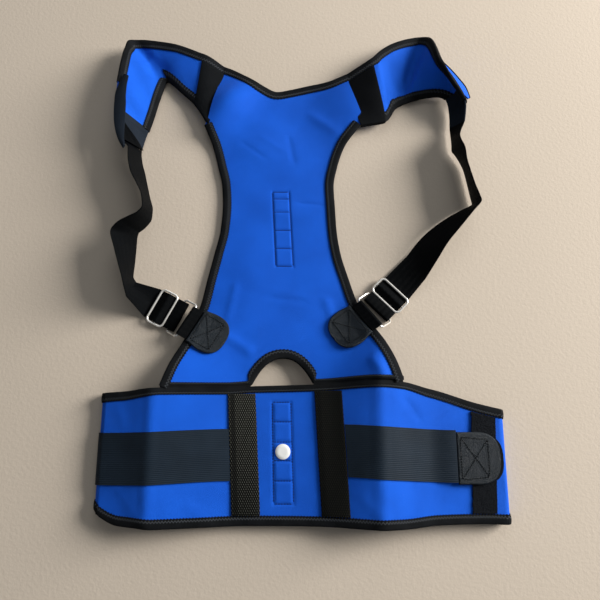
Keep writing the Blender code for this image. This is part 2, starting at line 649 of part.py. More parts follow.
def build_sticker(collection):
    """A blank round sticker on the middle of the belt, tilted with the cloth under it."""
    x = np.array([STICKER_SIDE])
    point, normal = on_belt(x, np.array([-STICKER_DOWN]))
    rise = NEOPRENE / 2 + 2 * GAP + STICKER_THICKNESS / 2
    bpy.ops.mesh.primitive_cylinder_add(vertices=24, radius=STICKER_WIDTH / 2, depth=STICKER_THICKNESS)
    disc = bpy.context.object
    disc.name = "size_sticker"
    disc.location = (point + normal * rise)[0]
    disc.rotation_euler = (0.0, math.atan2(normal[0, 0], normal[0, 2]), 0.0)
    for old in list(disc.users_collection):
        old.objects.unlink(disc)
    collection.objects.link(disc)
    finish(disc, "label")


# The wings

def wing_surface(rows, seam, sign):
    """A function of row number and share across, giving points of a wing's middle surface. Row 0 is the
    seam, at the panel's own height, and rows 1 and up are the table's."""
    table = np.array(rows)
    sizes = np.array([WING_REACH, WING_RISE, WING_LIFT] * 2 + [WING_LIFT, WING_LIFT])
    table = table * sizes
    inner = np.array([sign * seam[0][1] * PANEL_HALF, seam[0][0] * PANEL_LENGTH])
    outer = np.array([sign * seam[-1][1] * PANEL_HALF, seam[-1][0] * PANEL_LENGTH])
    inner_z = panel_height(inner[0], inner[1])
    outer_z = panel_height(outer[0], outer[1])
    first = np.array([sign * inner[0], inner[1], inner_z, sign * outer[0], outer[1], outer_z, 0.0, 0.0])
    full = np.vstack([first, table])

    slope = (by_row(full, np.array([0.5])) - by_row(full, np.array([0.0])))[0] / 0.5

    def surface(u, v):
        row = by_row(full, np.maximum(u, 0.0)) + np.minimum(u, 0.0)[..., None] * slope
        share = v[..., None]
        middle = 4 * share * (1 - share)
        bulge = np.stack([row[..., 6], np.zeros(u.shape), row[..., 7]], axis=-1)
        plan = row[..., 0:3] * (1 - share) + row[..., 3:6] * share + bulge * middle
        return plan * np.array([sign, 1.0, 1.0])

    return surface


def bound_share(surface, u, edge):
    """Share of a wing's section that a binding covers at its inner edge (0) or its outer edge (1)."""
    step = 0.02
    ends = np.full(u.shape, float(edge))
    across = surface(u, 1 - ends) - surface(u, ends)
    tangent = unit(surface(u + step, ends) - surface(u - step, ends))
    return BINDING_WIDTH / np.linalg.norm(np.cross(tangent, across), axis=1)


def wing_shares(surface, u, middle=3):
    """Shares across a wing for each row: its edges, the inner edges of its bindings, and between them."""
    inner = bound_share(surface, u, 0)[:, None]
    outer = 1 - bound_share(surface, u, 1)[:, None]
    between = inner + (outer - inner) * np.linspace(0.0, 1.0, middle)[None, :]
    return np.concatenate([np.zeros((len(u), 1)), between, np.ones((len(u), 1))], axis=1)


def rows_between(start, end, per_row=2.0):
    """Row numbers from start to end that keep every whole and half row between them."""
    whole = np.arange(math.ceil(start * per_row), math.floor(end * per_row) + 1) / per_row
    inside = whole[(whole > start + 0.12) & (whole < end - 0.12)]
    return np.concatenate([[start], inside, [end]])


def build_wing(side, rows, seam, sign, end_row, collection):
    """A wing: the neoprene from the seam to its webbing end, both bindings and the webbing band that
    covers the seam."""
    surface = wing_surface(rows, seam, sign)
    edge_row = end_row + 1
    u = rows_between(SEAM_SHARE, edge_row)
    v = wing_shares(surface, u)
    points = surface(np.broadcast_to(u[:, None], v.shape), v)
    normals = cloth_normals(points)
    sheet(f"wing_{side}", points, NEOPRENE, "neoprene", collection)
    edge_binding(f"wing_binding_inner_{side}", points[2:, :2], normals[2:, :2], True, SEAM_GAP, 0.0,
                 collection)
    edge_binding(f"wing_binding_outer_{side}", points[:, :-3:-1], normals[:, :-3:-1], False, SEAM_GAP, 0.0,
                 collection)
    band = points[:3, :-1] + normals[:3, :-1] * (NEOPRENE / 2 + GAP + WEBBING / 2)
    band[:, -1] -= unit(band[:, -1] - band[:, -2]) * 2 * GAP
    sheet(f"wing_band_{side}", band, WEBBING, "webbing", collection)
    u = rows_between(edge_row + 0.08, len(rows), 3.0)
    v = np.broadcast_to(np.linspace(0.0, END_WIDTH, 4), (len(u), 4))
    points = surface(np.broadcast_to(u[:, None], v.shape), v)
    sheet(f"wing_end_{side}", points, NEOPRENE, "webbing", collection)
    return surface


# Straps and buckles

def put_by(origin, angle, start):
    """A function from distance along a heading, distance across it and height to a place in the model.
    Distances along it count from start at the origin."""
    ahead = np.array([math.cos(angle), math.sin(angle), 0.0])
    aside = np.array([-math.sin(angle), math.cos(angle), 0.0])

    def put(e, a, z):
        e = np.asarray(e, float)[..., None] - start
        a = np.asarray(a, float)[..., None]
        z = np.asarray(z, float)[..., None]
        return origin + e * ahead + a * aside + z * np.array([0.0, 0.0, 1.0])

    return put


def slider_frame(place):
    x, y, heading, _ = place
    return put_by(np.array([x, y, 0.0]), math.radians(heading), 0.0)


def ring_frame(place):
    """As the slider's, but turned to the ring's heading at the middle of the strap's fold."""
    origin = slider_frame(place)(PIVOT_AT, 0.0, 0.0)
    return put_by(origin, math.radians(place[3]), PIVOT_AT)


LOW_LAYER = WEBBING / 2 + GAP
TOP_LAYER = LOW_LAYER + WEBBING + GAP
RING_Z = LOW_LAYER + WEBBING / 2 + GAP + WIRE / 2
SLIDER_Z = RING_Z + WIRE + GAP
OVER = WIRE / 2 + 2 * GAP + WEBBING / 2
PATCH_RISE = HALF_BOUND + 3 * GAP + LEATHER / 2
RING_RISE = WIRE


def rounded_frame(put, start, end, half, z_start, z_end, roll):
    """Points of a wire frame with rounded corners, between two distances along the strap. Its far end
    rolls sideways by the given slope."""
    corner = WIRE
    points = []
    for e, a, first in ((end, half, 0), (start, half, 90), (start, -half, 180), (end, -half, 270)):
        centre_e = e - corner if e == end else e + corner
        centre_a = a - corner if a > 0 else a + corner
        for turn in range(0, 91, 30):
            angle = math.radians(first + turn)
            points.append((centre_e + corner * math.cos(angle), centre_a + corner * math.sin(angle)))
    plan = np.array(points)
    share = (plan[:, 0] - start) / (end - start)
    return put(plan[:, 0], plan[:, 1], z_start + (z_end + roll * plan[:, 1] - z_start) * share)


def wire(name, points, closed, collection):
    """A round wire through the points, made a mesh."""
    curve = bpy.data.curves.new(name, "CURVE")
    curve.dimensions = "3D"
    curve.bevel_depth = WIRE / 2
    curve.bevel_resolution = 2
    curve.use_fill_caps = not closed
    spline = curve.splines.new("POLY")
    spline.points.add(len(points) - 1)
    for spot, point in zip(spline.points, points):
        spot.co = (*point, 1.0)
    spline.use_cyclic_u = closed
    drawn = bpy.data.objects.new(name, curve)
    collection.objects.link(drawn)
    graph = bpy.context.evaluated_depsgraph_get()
    mesh = bpy.data.meshes.new_from_object(drawn.evaluated_get(graph))
    bpy.data.objects.remove(drawn, do_unlink=True)
    shape = bmesh.new()
    shape.from_mesh(mesh)
    bmesh.ops.remove_doubles(shape, verts=shape.verts[:], dist=0.000001)
    bmesh.ops.recalc_face_normals(shape, faces=shape.faces[:])
    shape.to_mesh(mesh)
    shape.free()
    mesh.name = name
    thing = bpy.data.objects.new(name, mesh)
    collection.objects.link(thing)
    return thing


def build_slider(side, put, collection, cutters):
    """A wire slider: a rounded frame with a bar across its middle, as one solid."""
    half = STRAP_WIDTH / 2 + WIRE_ROOM + WIRE / 2
    reach = SLIDER_LENGTH / 2 - WIRE / 2
    outline = rounded_frame(put, -reach, reach, half, SLIDER_Z, SLIDER_Z, 0)
    frame = wire(f"slider_{side}", outline, True, collection)
    bar = wire(f"slider_bar_{side}", put([0.0, 0.0], [-half, half], [SLIDER_Z, SLIDER_Z]), False, cutters)
    bar.hide_render = True
    bar.display_type = "WIRE"
    joined = frame.modifiers.new("bar", "BOOLEAN")
    joined.operation = "UNION"
    joined.object = bar
    finish(frame, "metal")


def loop_level(place):
    """Height and sideways slope of the webbing loop where it meets the end patch, clear of the panel's
    bound edge below it."""
    put = ring_frame(place)
    side = STRAP_WIDTH / 2
    ends = put([PATCH_AT, PATCH_AT], [-side, side], [0.0, 0.0])
    heights = panel_height(ends[:, 0], ends[:, 1])
    roll = (heights[1] - heights[0]) / STRAP_WIDTH
    e, a = np.meshgrid(np.linspace(RING_AT + RING_LENGTH, PATCH_AT, 4), np.linspace(-side, side, 5))
    spots = put(e, a, np.zeros(e.shape))
    highest = (panel_height(spots[..., 0], spots[..., 1]) - roll * a).max()
    return highest + PATCH_RISE, roll


def build_ring(side, place, collection):
    put = ring_frame(place)
    level, roll = loop_level(place)
    half = STRAP_WIDTH / 2 + RING_ROOM + WIRE / 2
    end = RING_AT + RING_LENGTH - WIRE
    frame = rounded_frame(put, RING_AT, end, half, RING_Z, level + RING_RISE, roll)
    finish(wire(f"ring_{side}", frame, True, collection), "metal")


def ribbon(name, lines, thickness, finish_name, collection):
    """A strap through pairs of edge points: left edge and right edge of each section."""
    share = np.linspace(0.0, 1.0, 3)[None, :, None]
    points = lines[:, None, 0:3] * (1 - share) + lines[:, None, 3:6] * share
    return sheet(name, points, thickness, finish_name, collection)


def build_loop(side, place, collection):
    """The webbing loop from the end patch round the ring's far bar and back."""
    put = ring_frame(place)
    level, roll = loop_level(place)
    bar = level + RING_RISE
    end = RING_AT + RING_LENGTH - WIRE
    turn = np.radians(np.linspace(90.0, 270.0, 8))
    pad = (WEBBING + GAP) / 2
    tail = PATCH_AT - 4 * GAP
    e = np.concatenate([[tail], end + OVER * np.cos(turn), [tail]])
    z = np.concatenate([[level + pad], bar + OVER * np.sin(turn), [level - pad]])
    half = STRAP_WIDTH / 2
    tilt = np.full(e.shape, roll * half)
    sides = [put(e, np.full(e.shape, half), z + tilt), put(e, np.full(e.shape, -half), z - tilt)]
    ribbon(f"ring_loop_{side}", np.concatenate(sides, axis=1), WEBBING, "webbing", collection)


def build_patch(side, place, collection):
    """The D-shaped leather patch on the panel, whose straight edge holds the webbing loop."""
    put = ring_frame(place)
    along, half = round_end(PATCH_LENGTH, PATCH_HALF, 0.40, 10)
    half = half * (0.92 + 0.08 * ease(along / PATCH_LENGTH / 0.4))
    rows = np.linspace(-1.0, 1.0, 5)[None, :] * half[:, None]
    plan = put((PATCH_AT + along)[:, None] * np.ones((1, 5)), rows, np.zeros(rows.shape))
    x = plan[..., 0]
    y = plan[..., 1]
    column = 1 if place[0] < 0 else 2
    inside = PANEL_HALF * smooth(PANEL_SIDES, column, y / PANEL_LENGTH) - np.abs(x)
    settle = ease((inside - BINDING_WIDTH - EDGE_INSET) / PATCH_SETTLE)
    low = NEOPRENE / 2 + 3 * GAP + LEATHER / 2
    rise = PATCH_RISE + (low - PATCH_RISE) * settle
    points, normals = on_panel(x, y)
    sheet(f"anchor_patch_{side}", points + normals * rise[..., None], LEATHER, "leather", collection)


def strap_into_buckle(place):
    """Sections of the strap in the buckle: under the slider's frame and over its bar, on over the ring's
    near bar to a round fold, and back under both to below the slider's bar."""
    put = slider_frame(place)
    reach = SLIDER_LENGTH / 2 - WIRE / 2
    over_bar = SLIDER_Z + OVER
    over_ring = RING_Z + OVER
    rising = (TOP_LAYER + over_bar) / 2
    turn = np.radians(np.linspace(90.0, -90.0, 7))
    fold = (over_ring - LOW_LAYER) / 2
    passing = (
        (-reach - BUCKLE_RUN, TOP_LAYER), (-reach, TOP_LAYER), (-reach / 2, rising), (0.0, over_bar),
        (reach / 2, rising), (reach, TOP_LAYER), (reach + WIRE, over_ring),
    )
    there = np.array(passing)
    e = np.concatenate([there[:, 0], FOLD_AT + fold * np.cos(turn), [WIRE]])
    z = np.concatenate([there[:, 1], LOW_LAYER + fold + fold * np.sin(turn), [LOW_LAYER]])
    half = np.full(e.shape, STRAP_WIDTH / 2)
    return np.concatenate([put(e, -half, z), put(e, half, z)], axis=1)


def strap_start(surface, last, sign):
    """The strap's first section, just past the end of its wing and square across it."""
    rows = np.full(2, float(last))
    across = np.array([END_WIDTH, 0.0]) if sign < 0 else np.array([0.0, END_WIDTH])
    ends = surface(rows, across)
    ahead = unit(ends - surface(rows - 0.2, across))
    middle = ends.mean(axis=0)
    half = unit(ends - middle) * STRAP_WIDTH / 2
    reach = np.linalg.norm(ends - middle, axis=1, keepdims=True)
    wide = np.where(reach > STRAP_WIDTH / 2, half, ends - middle)
    return (middle + wide + ahead * 2 * GAP).reshape(1, 6)


def build_strap(side, rows, sign, place, surface, last, collection):
    """The strap: standing on its edge and turning from the wing to the buckle, then flat through it."""
    sizes = np.array([sign * WING_REACH, WING_RISE, STRAP_WIDTH] * 2)
    table = np.concatenate([strap_start(surface, last, sign), np.array(rows) * sizes])
    free = by_row(table, rows_between(0.0, len(table) - 1.0))
    free[:, 2:6:3] = np.maximum(free[:, 2:6:3], WEBBING / 2 + GAP)
    lines = np.concatenate([free, strap_into_buckle(place)])
    ribbon(f"strap_{side}", lines, WEBBING, "webbing", collection)


def set_origin(collection):
    """Moves everything so that the origin is under the middle of the whole model's bounding box."""
    bpy.context.view_layer.update()
    graph = bpy.context.evaluated_depsgraph_get()
    clouds = []
    for thing in collection.objects:
        evaluated = thing.evaluated_get(graph)
        mesh = evaluated.to_mesh()
        flat = np.empty(len(mesh.vertices) * 3)
        mesh.vertices.foreach_get("co", flat)
        world = np.array(thing.matrix_world)
        clouds.append(flat.reshape(-1, 3) @ world[:3, :3].T + world[:3, 3])
        evaluated.to_mesh_clear()
    everything = np.concatenate(clouds)
    low = everything.min(axis=0)
    high = everything.max(axis=0)
    shift = (-(low[0] + high[0]) / 2, -(low[1] + high[1]) / 2, -low[2])
    print("moved by", [round(float(value), 5) for value in shift], "size", (high - low).round(4))
    return shift


def main():
    clear_scene()
    parts = new_collection("posture_corrector")
    cutters = new_collection("cutters")
    build_panel(parts)
    build_belt(parts)
    build_stays(parts)
    build_elastics(parts)
    build_tab(parts)
    build_sticker(parts)
    left_wing = build_wing("left", LEFT_WING, LEFT_SEAM, -1, LEFT_END_ROW, parts)
    right_wing = build_wing("right", RIGHT_WING, RIGHT_SEAM, 1, RIGHT_END_ROW, parts)
    build_strap("left", LEFT_STRAP, -1, LEFT_BUCKLE, left_wing, len(LEFT_WING), parts)
    build_strap("right", RIGHT_STRAP, 1, RIGHT_BUCKLE, right_wing, len(RIGHT_WING), parts)
    for side, place in (("left", LEFT_BUCKLE), ("right", RIGHT_BUCKLE)):
        build_slider(side, slider_frame(place), parts, cutters)
        build_ring(side, place, parts)
        build_loop(side, place, parts)
        build_patch(side, place, parts)
    shift = set_origin(parts)
    for thing in [*parts.objects, *cutters.objects]:
        thing.location = [a + b for a, b in zip(thing.location, shift)]


main()
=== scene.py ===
import math

import bpy
import numpy as np
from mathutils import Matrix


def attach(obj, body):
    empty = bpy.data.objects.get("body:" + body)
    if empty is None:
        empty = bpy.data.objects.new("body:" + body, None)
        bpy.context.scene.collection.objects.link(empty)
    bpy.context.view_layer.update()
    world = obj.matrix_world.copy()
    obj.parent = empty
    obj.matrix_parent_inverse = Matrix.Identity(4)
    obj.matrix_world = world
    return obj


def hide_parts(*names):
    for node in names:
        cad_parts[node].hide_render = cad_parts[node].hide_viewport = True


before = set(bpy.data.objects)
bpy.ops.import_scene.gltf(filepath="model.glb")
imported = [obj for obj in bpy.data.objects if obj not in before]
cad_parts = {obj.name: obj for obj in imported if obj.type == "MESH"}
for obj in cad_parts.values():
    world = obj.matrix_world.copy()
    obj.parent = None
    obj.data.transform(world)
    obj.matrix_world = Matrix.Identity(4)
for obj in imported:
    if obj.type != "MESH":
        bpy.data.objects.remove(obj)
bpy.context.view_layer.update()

# Everything is laid out from the seam between panel and belt, as the part is, and moved by this at the end
shift = np.array([-0.02036, -0.14251, 0.0])
gap = 0.0003
thick = {"neoprene": 0.0026, "tape": 0.0010, "webbing": 0.0014, "elastic": 0.0012, "leather": 0.0026,
         "fleece": 0.0014}
tapeWidth = 0.0090
tapeStep = 0.0008
stitchPitch = 0.0032
stayWaves = (1309.0, 2618.0)  # radians per metre along and across the stay bands, in their paint and their mesh
tapeShares = np.linspace(0.0, 1.0, 6)[None, :]
edgeInset = gap + thick["tape"]
halfBound = thick["neoprene"] / 2 + edgeInset
onCloth = thick["neoprene"] / 2 + gap


# Readers of tables

def softRead(rows, column, at):
    # a cubic through the table's rows whose slopes are the harmonic means of its neighbours
    table = np.array(rows, float)
    xs = table[:, 0]
    ys = table[:, column]
    steps = np.diff(xs)
    slopes = np.diff(ys) / steps
    ends = np.concatenate([[slopes[0]], slopes, [slopes[-1]]])
    same = ends[:-1] * ends[1:] > 0
    total = np.where(same, ends[:-1] + ends[1:], 1.0)
    tangents = np.where(same, 2 * ends[:-1] * ends[1:] / total, 0.0)
    tangents[0] = slopes[0]
    tangents[-1] = slopes[-1]
    where = np.clip(np.searchsorted(xs, at, side="right") - 1, 0, len(steps) - 1)
    t = np.clip((at - xs[where]) / steps[where], 0.0, 1.0)
    rise = ys[where + 1] - ys[where]
    a = tangents[where] * steps[where] - rise
    b = rise - tangents[where + 1] * steps[where]
    return ys[where] + t * rise + t * (1 - t) * (a * (1 - t) + b * t)


def readRows(rows, at):
    # all columns of a table at fractional row numbers
    numbered = np.column_stack([np.arange(len(rows)), np.array(rows, float)])
    return np.stack([softRead(numbered, column, at) for column in range(1, numbered.shape[1])], axis=-1)


def ease(t):
    # 3 t^2 - 2 t^3 between 0 and 1
    held = np.clip(t, 0.0, 1.0)
    return held * held * (3 - 2 * held)


def unit(vectors):
    return vectors / np.maximum(np.linalg.norm(vectors, axis=-1, keepdims=True), 1e-12)


def hill(t):
    # exp(-t^2)
    return np.exp(-t * t)


def gridNormals(points):
    # the cross product of the steps along and across the grid
    return unit(np.cross(np.gradient(points, axis=0), np.gradient(points, axis=1)))


def upNormals(points):
    # the grid's normals, turned so that they point up on the whole
    normals = gridNormals(points)
    return normals * np.sign(normals[..., 2].mean())


def lengths(points):
    # distance along a line of points, from its first
    steps = np.linalg.norm(np.diff(points, axis=0), axis=-1)
    return np.concatenate([[0.0], np.cumsum(steps)])


def respaced(points, step):
    # the same line with points at even distances
    along = lengths(points)
    at = np.linspace(0.0, along[-1], max(3, int(along[-1] / step) + 1))
    return np.stack([np.interp(at, along, column) for column in points.T], axis=1)


# Meshes

def gridUv(points):
    # distance along the middle column and distance across the middle row, in metres
    along = lengths(points[:, points.shape[1] // 2])
    across = lengths(points[points.shape[0] // 2])
    return np.stack(np.meshgrid(along, across, indexing="ij"), axis=-1)


def closedShape(rings, uv, looped=False):
    # quads between neighbouring rings, and rungs that pair ring point j with the last but j over each end
    count, around = rings.shape[:2]
    numbers = np.arange(count * around).reshape(count, around)
    if looped:
        numbers = np.vstack([numbers, numbers[:1]])
    ahead = np.roll(numbers, -1, axis=1)
    sides = np.stack([numbers[:-1], ahead[:-1], ahead[1:], numbers[1:]], axis=-1).reshape(-1, 4)
    if not looped:
        j = np.arange(around // 2 - 1)
        rungs = np.stack([j, around - 1 - j, around - 2 - j, j + 1], axis=1)
        last = numbers[-1][rungs[:, ::-1]]
        sides = np.concatenate([sides, rungs, last])
    points = rings.reshape(-1, 3)
    a, b, c, d = (points[sides[:, k]] for k in range(4))
    volume = np.sum(np.cross(a, b) * c) + np.sum(np.cross(a, c) * d)
    if volume < 0:
        sides = sides[:, ::-1]
    return points, sides, uv.reshape(-1, 2)


def wall(points, thickness, normals=None, uv=None):
    # middle surface plus and minus half the thickness along its normals
    away = gridNormals(points) if normals is None else normals
    half = np.broadcast_to(np.asarray(thickness) / 2, points.shape[:2])[..., None]
    rings = np.concatenate([points + away * half, (points - away * half)[:, ::-1]], axis=1)
    plan = gridUv(points) if uv is None else uv
    return closedShape(rings, np.concatenate([plan, plan[:, ::-1]], axis=1))


def softRim(points, radius):
    # half thickness sqrt(1 - (1 - d/r)^2) at distance d from the nearest edge of the grid, as a share
    n, m = points.shape[:2]
    along = np.stack([lengths(points[:, j]) for j in range(m)], axis=1)
    across = np.stack([lengths(points[i]) for i in range(n)], axis=0)
    near = np.minimum(np.minimum(along, along[-1:] - along), np.minimum(across, across[:, -1:] - across))
    t = np.clip(near / radius, 0.0, 1.0)
    return np.maximum(np.sqrt(1 - (1 - t) ** 2), 0.3)


def scallop(distance):
    # a tape's width as a share: 1 + 0.06 sin(2 pi d / pitch)
    return 1 + 0.06 * np.sin(distance * 2 * np.pi / stitchPitch)


def fold(points, width, extra=0.0, puff=0.0004):
    # a tape folded over the first column of a cloth's grid: both legs at their heights off the cloth, the
    # outer face raised by puff * sin(pi d / w), and half an ellipse round the edge
    normals = gridNormals(points)
    count = points.shape[1]
    outward = unit(points[:, 0] - points[:, 1])
    share = np.linspace(0.0, 1.0, count)
    low = onCloth
    high = low + extra + thick["tape"] * 0.8 + puff * np.sin(np.pi * share) - 0.0003 * share ** 6
    turn = np.radians(np.linspace(90.0, -90.0, 7)[1:-1])[None, :, None]
    edge = points[:, :1]
    normal = normals[:, :1]
    web = edge + outward[:, None] * edgeInset * np.cos(turn) + normal * high[0] * np.sin(turn)
    shut = edge + outward[:, None] * 2 * gap * np.cos(turn) + normal * low * np.sin(turn)
    top = points + normals * high[None, :, None]
    bottom = points - normals * high[None, :, None]
    rings = np.concatenate(
        [
            top[:, ::-1],
            web,
            bottom,
            (points - normals * low)[:, ::-1],
            shut[:, ::-1],
            points + normals * low,
        ],
        axis=1,
    )
    along = lengths(points[:, 0])[:, None] * np.ones((1, rings.shape[1]))
    legs = share * width
    bend = np.zeros(5)
    across = np.concatenate([legs[::-1], bend, legs, legs[::-1], bend, legs])
    uv = np.stack([along, np.broadcast_to(across, along.shape)], axis=-1)
    return closedShape(rings, uv)


def tube(path, radius, looped=False, sides=14):
    # a circle carried along the path, kept level by the cross product with the up direction
    ahead = np.gradient(path, axis=0)
    if looped:
        ahead = np.roll(path, -1, axis=0) - np.roll(path, 1, axis=0)
    ahead = unit(ahead)
    level = unit(np.cross(ahead, np.array([0.0, 0.05, 1.0])))
    up = np.cross(level, ahead)
    angle = np.arange(sides) * 2 * np.pi / sides
    ring = level[:, None] * np.cos(angle)[None, :, None] + up[:, None] * np.sin(angle)[None, :, None]
    uv = np.stack(np.meshgrid(lengths(path), angle * radius, indexing="ij"), axis=-1)
    return closedShape(path[:, None] + ring * radius, uv, looped)


def stitches(line, ups, pitch, share, radius):
    # short threads along a line: each rises by 1.6 r sin(pi t) - 0.5 r between its two holes
    along = lengths(line)
    starts = np.arange(pitch * 0.3, along[-1] - pitch * share, pitch)
    t = np.linspace(0.0, 1.0, 6)
    at = starts[:, None] + pitch * share * t[None, :]
    spots = np.stack([np.interp(at, along, column) for column in line.T], axis=-1)
    up = unit(np.stack([np.interp(at, along, column) for column in ups.T], axis=-1))
    spots = spots + up * (1.6 * radius * np.sin(np.pi * t) - 0.5 * radius)[None, :, None]
    ahead = unit(np.gradient(spots, axis=1))
    level = unit(np.cross(ahead, up))
    angle = np.arange(6) * np.pi / 3
    ring = level[..., None, :] * np.cos(angle)[:, None] + up[..., None, :] * np.sin(angle)[:, None]
    rings = spots[..., None, :] + ring * radius * (0.55 + 0.45 * np.sin(np.pi * t))[None, :, None, None]
    uv = np.zeros(rings.shape[1:3] + (2,))
    made = [closedShape(one, uv) for one in rings]
    return merged(made)


def merged(shapes):
    points = np.concatenate([shape[0] for shape in shapes])
    starts = np.cumsum([0] + [len(shape[0]) for shape in shapes[:-1]])
    faces = np.concatenate([shape[1] + start for shape, start in zip(shapes, starts)])
    return points, faces, np.concatenate([shape[2] for shape in shapes])


def makePiece(name, shape, paint, *nodes):
    # a mesh from points, quads and uv, in the paint and slot of that name, over the nodes that it replaces
    points, faces, uv = shape
    mesh = bpy.data.meshes.new(name)
    mesh.vertices.add(len(points))
    mesh.vertices.foreach_set("co", (points + shift).astype(np.float32).ravel())
    mesh.loops.add(faces.size)
    mesh.loops.foreach_set("vertex_index", faces.astype(np.int32).ravel())
    mesh.polygons.add(len(faces))
    mesh.polygons.foreach_set("loop_start", np.arange(0, faces.size, 4, dtype=np.int32))
    mesh.update(calc_edges=True)
    mesh.validate()
    layer = mesh.uv_layers.new(name="UVMap")
    order = np.empty(len(mesh.loops), dtype=np.int32)
    mesh.loops.foreach_get("vertex_index", order)
    layer.data.foreach_set("uv", uv[order].astype(np.float32).ravel())
    mesh.shade_smooth()
    mesh.set_sharp_from_angle(angle=math.radians(50))
    mesh.materials.append(paints[paint])
    piece = bpy.data.objects.new(name, mesh)
    bpy.context.scene.collection.objects.link(piece)
    if nodes:
        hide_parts(*nodes)
    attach(piece, "root")
    return piece


# Shader maths

class Signal:
    # one output of a node, which sums and products turn into further Math nodes
    def __init__(self, paint, socket):
        self.paint = paint
        self.socket = socket

    def maths(self, operation, *others):
        made = self.paint.add("ShaderNodeMath", {"operation": operation}, dict(enumerate((self, *others))))
        return Signal(self.paint, made.outputs[0])

    def __add__(self, other):
        return self.maths("ADD", other)

    def __sub__(self, other):
        return self.maths("SUBTRACT", other)

    def __mul__(self, other):
        return self.maths("MULTIPLY", other)

    def __truediv__(self, other):
        return self.maths("DIVIDE", other)

    def __radd__(self, other):
        return self + other

    def __rmul__(self, other):
        return self * other

    def __rsub__(self, other):
        return self * -1.0 + other

    def wave(self):
        return self.maths("SINE")

    def size(self):
        return self.maths("ABSOLUTE")

    def rest(self):
        return self.maths("FRACT")

    def soft(self, low, high):
        made = self.paint.add(
            "ShaderNodeMapRange",
            {"interpolation_type": "SMOOTHSTEP"},
            {"Value": self, "From Min": low, "From Max": high},
        )
        return Signal(self.paint, made.outputs["Result"])


class Paint:
    # a material's node tree, with one method that adds any node
    def __init__(self, name):
        self.material = bpy.data.materials.new(name)
        self.material.use_nodes = True
        self.tree = self.material.node_tree
        self.shader = self.tree.nodes["Principled BSDF"]

    def put(self, socket, value):
        if isinstance(value, Signal):
            self.tree.links.new(value.socket, socket)
        else:
            socket.default_value = value

    def add(self, kind, settings, inputs):
        made = self.tree.nodes.new(kind)
        for key, value in settings.items():
            setattr(made, key, value)
        for key, value in inputs.items():
            self.put(made.inputs[key], value)
        return made

    def places(self):
        made = self.add("ShaderNodeTexCoord", {}, {})
        self.here = Signal(self, made.outputs["Object"])
        self.flat = Signal(self, made.outputs["UV"])
        parts = self.add("ShaderNodeSeparateXYZ", {}, {0: self.flat})
        return Signal(self, parts.outputs[0]), Signal(self, parts.outputs[1])

    def noise(self, where, scale, detail=3.0, roughness=0.5):
        made = self.add(
            "ShaderNodeTexNoise",
            {},
            {"Vector": where, "Scale": scale, "Detail": detail, "Roughness": roughness},
        )
        return Signal(self, made.outputs["Fac"])

    def mix(self, share, first, second):
        start = first if isinstance(first, Signal) else (*first, 1.0)
        made = self.add("ShaderNodeMix", {"data_type": "RGBA"}, {0: share, 6: start, 7: (*second, 1.0)})
        return Signal(self, made.outputs[2])

    def close(self, colour, roughness, height, depth, settings):
        self.put(self.shader.inputs["Base Color"], colour)
        self.put(self.shader.inputs["Roughness"], roughness)
        bump = self.add("ShaderNodeBump", {}, {"Height": height, "Strength": 1.0, "Distance": depth})
        self.tree.links.new(bump.outputs["Normal"], self.shader.inputs["Normal"])
        for key, value in settings.items():
            self.shader.inputs[key].default_value = value
        return self.material


def neoprenePaint():
    # blue knit face: v-shaped loops 0.55 mm wide and 0.4 mm high, broad mottling, a little lint
    paint = Paint("blue_knit")
    u, v = paint.places()
    broad = paint.noise(paint.here, 22.0, 4.0, 0.55)
    fine = paint.noise(paint.here, 1400.0, 2.0)
    loops = (v * 11424.0).wave().size() * (u * 15708.0 + (v * 11424.0).wave() * 1.2).wave()
    colour = paint.mix(broad.soft(0.25, 0.75), (0.0040, 0.084, 0.540), (0.0055, 0.101, 0.626))
    lint = paint.noise(paint.here, 420.0, 2.0).soft(0.70, 0.76) * 0.16
    colour = paint.mix(lint, colour, (0.06, 0.18, 0.70))
    height = loops * 0.3 + fine * 0.6
    return paint.close(colour, broad * 0.1 + 0.66, height, 0.00018,
                       {"Sheen Weight": 0.03, "Sheen Roughness": 0.45, "Specular IOR Level": 0.11})


def tapePaint():
    # black tape: cross ribs 0.5 mm apart and a zigzag seam of 3.2 mm pitch beside its inner edge
    paint = Paint("black_tape")
    u, v = paint.places()
    ribs = (u * 12566.0).wave() * 0.5
    zigzag = ((u / stitchPitch).rest() - 0.5).size() * 2.0
    line = (v - 0.0052 - zigzag * 0.0024).size()
    thread = 1.0 - line.soft(0.00030, 0.00070)
    hole = 1.0 - (line * 0.6).soft(0.0001, 0.0009)
    fine = paint.noise(paint.here, 1500.0, 2.0)
    broad = paint.noise(paint.here, 60.0, 3.0)
    colour = paint.mix(broad.soft(0.3, 0.7), (0.0030, 0.0036, 0.0044), (0.0062, 0.0070, 0.0084))
    colour = paint.mix(thread, colour, (0.044, 0.049, 0.056))
    height = ribs * 0.3 + thread * 1.4 - hole * 1.2 + fine * 0.7
    return paint.close(colour, 0.80 - thread * 0.2, height, 0.00025, {"Specular IOR Level": 0.09})


def webbingPaint(name, dark, light, pitch, depth):
    # twill webbing: slanting ridges one pitch wide, broken where the weave turns
    paint = Paint(name)
    u, v = paint.places()
    turn = ((v / (pitch * 4.0)).rest() - 0.5).size() * 4.0
    ridges = (u * (6.2832 / pitch) + turn * 6.2832).wave()
    picks = (v * (6.2832 / pitch * 2.0)).wave() * 0.35
    fine = paint.noise(paint.here, 1600.0, 2.0)
    broad = paint.noise(paint.here, 45.0, 3.0)
    share = ridges * 0.25 + broad * 0.5 + 0.25
    colour = paint.mix(share.soft(0.1, 0.95), dark, light)
    height = ridges * 0.8 + picks + fine * 0.5
    return paint.close(colour, 0.62 - ridges * 0.06, height, depth,
                       {"Specular IOR Level": 0.03})


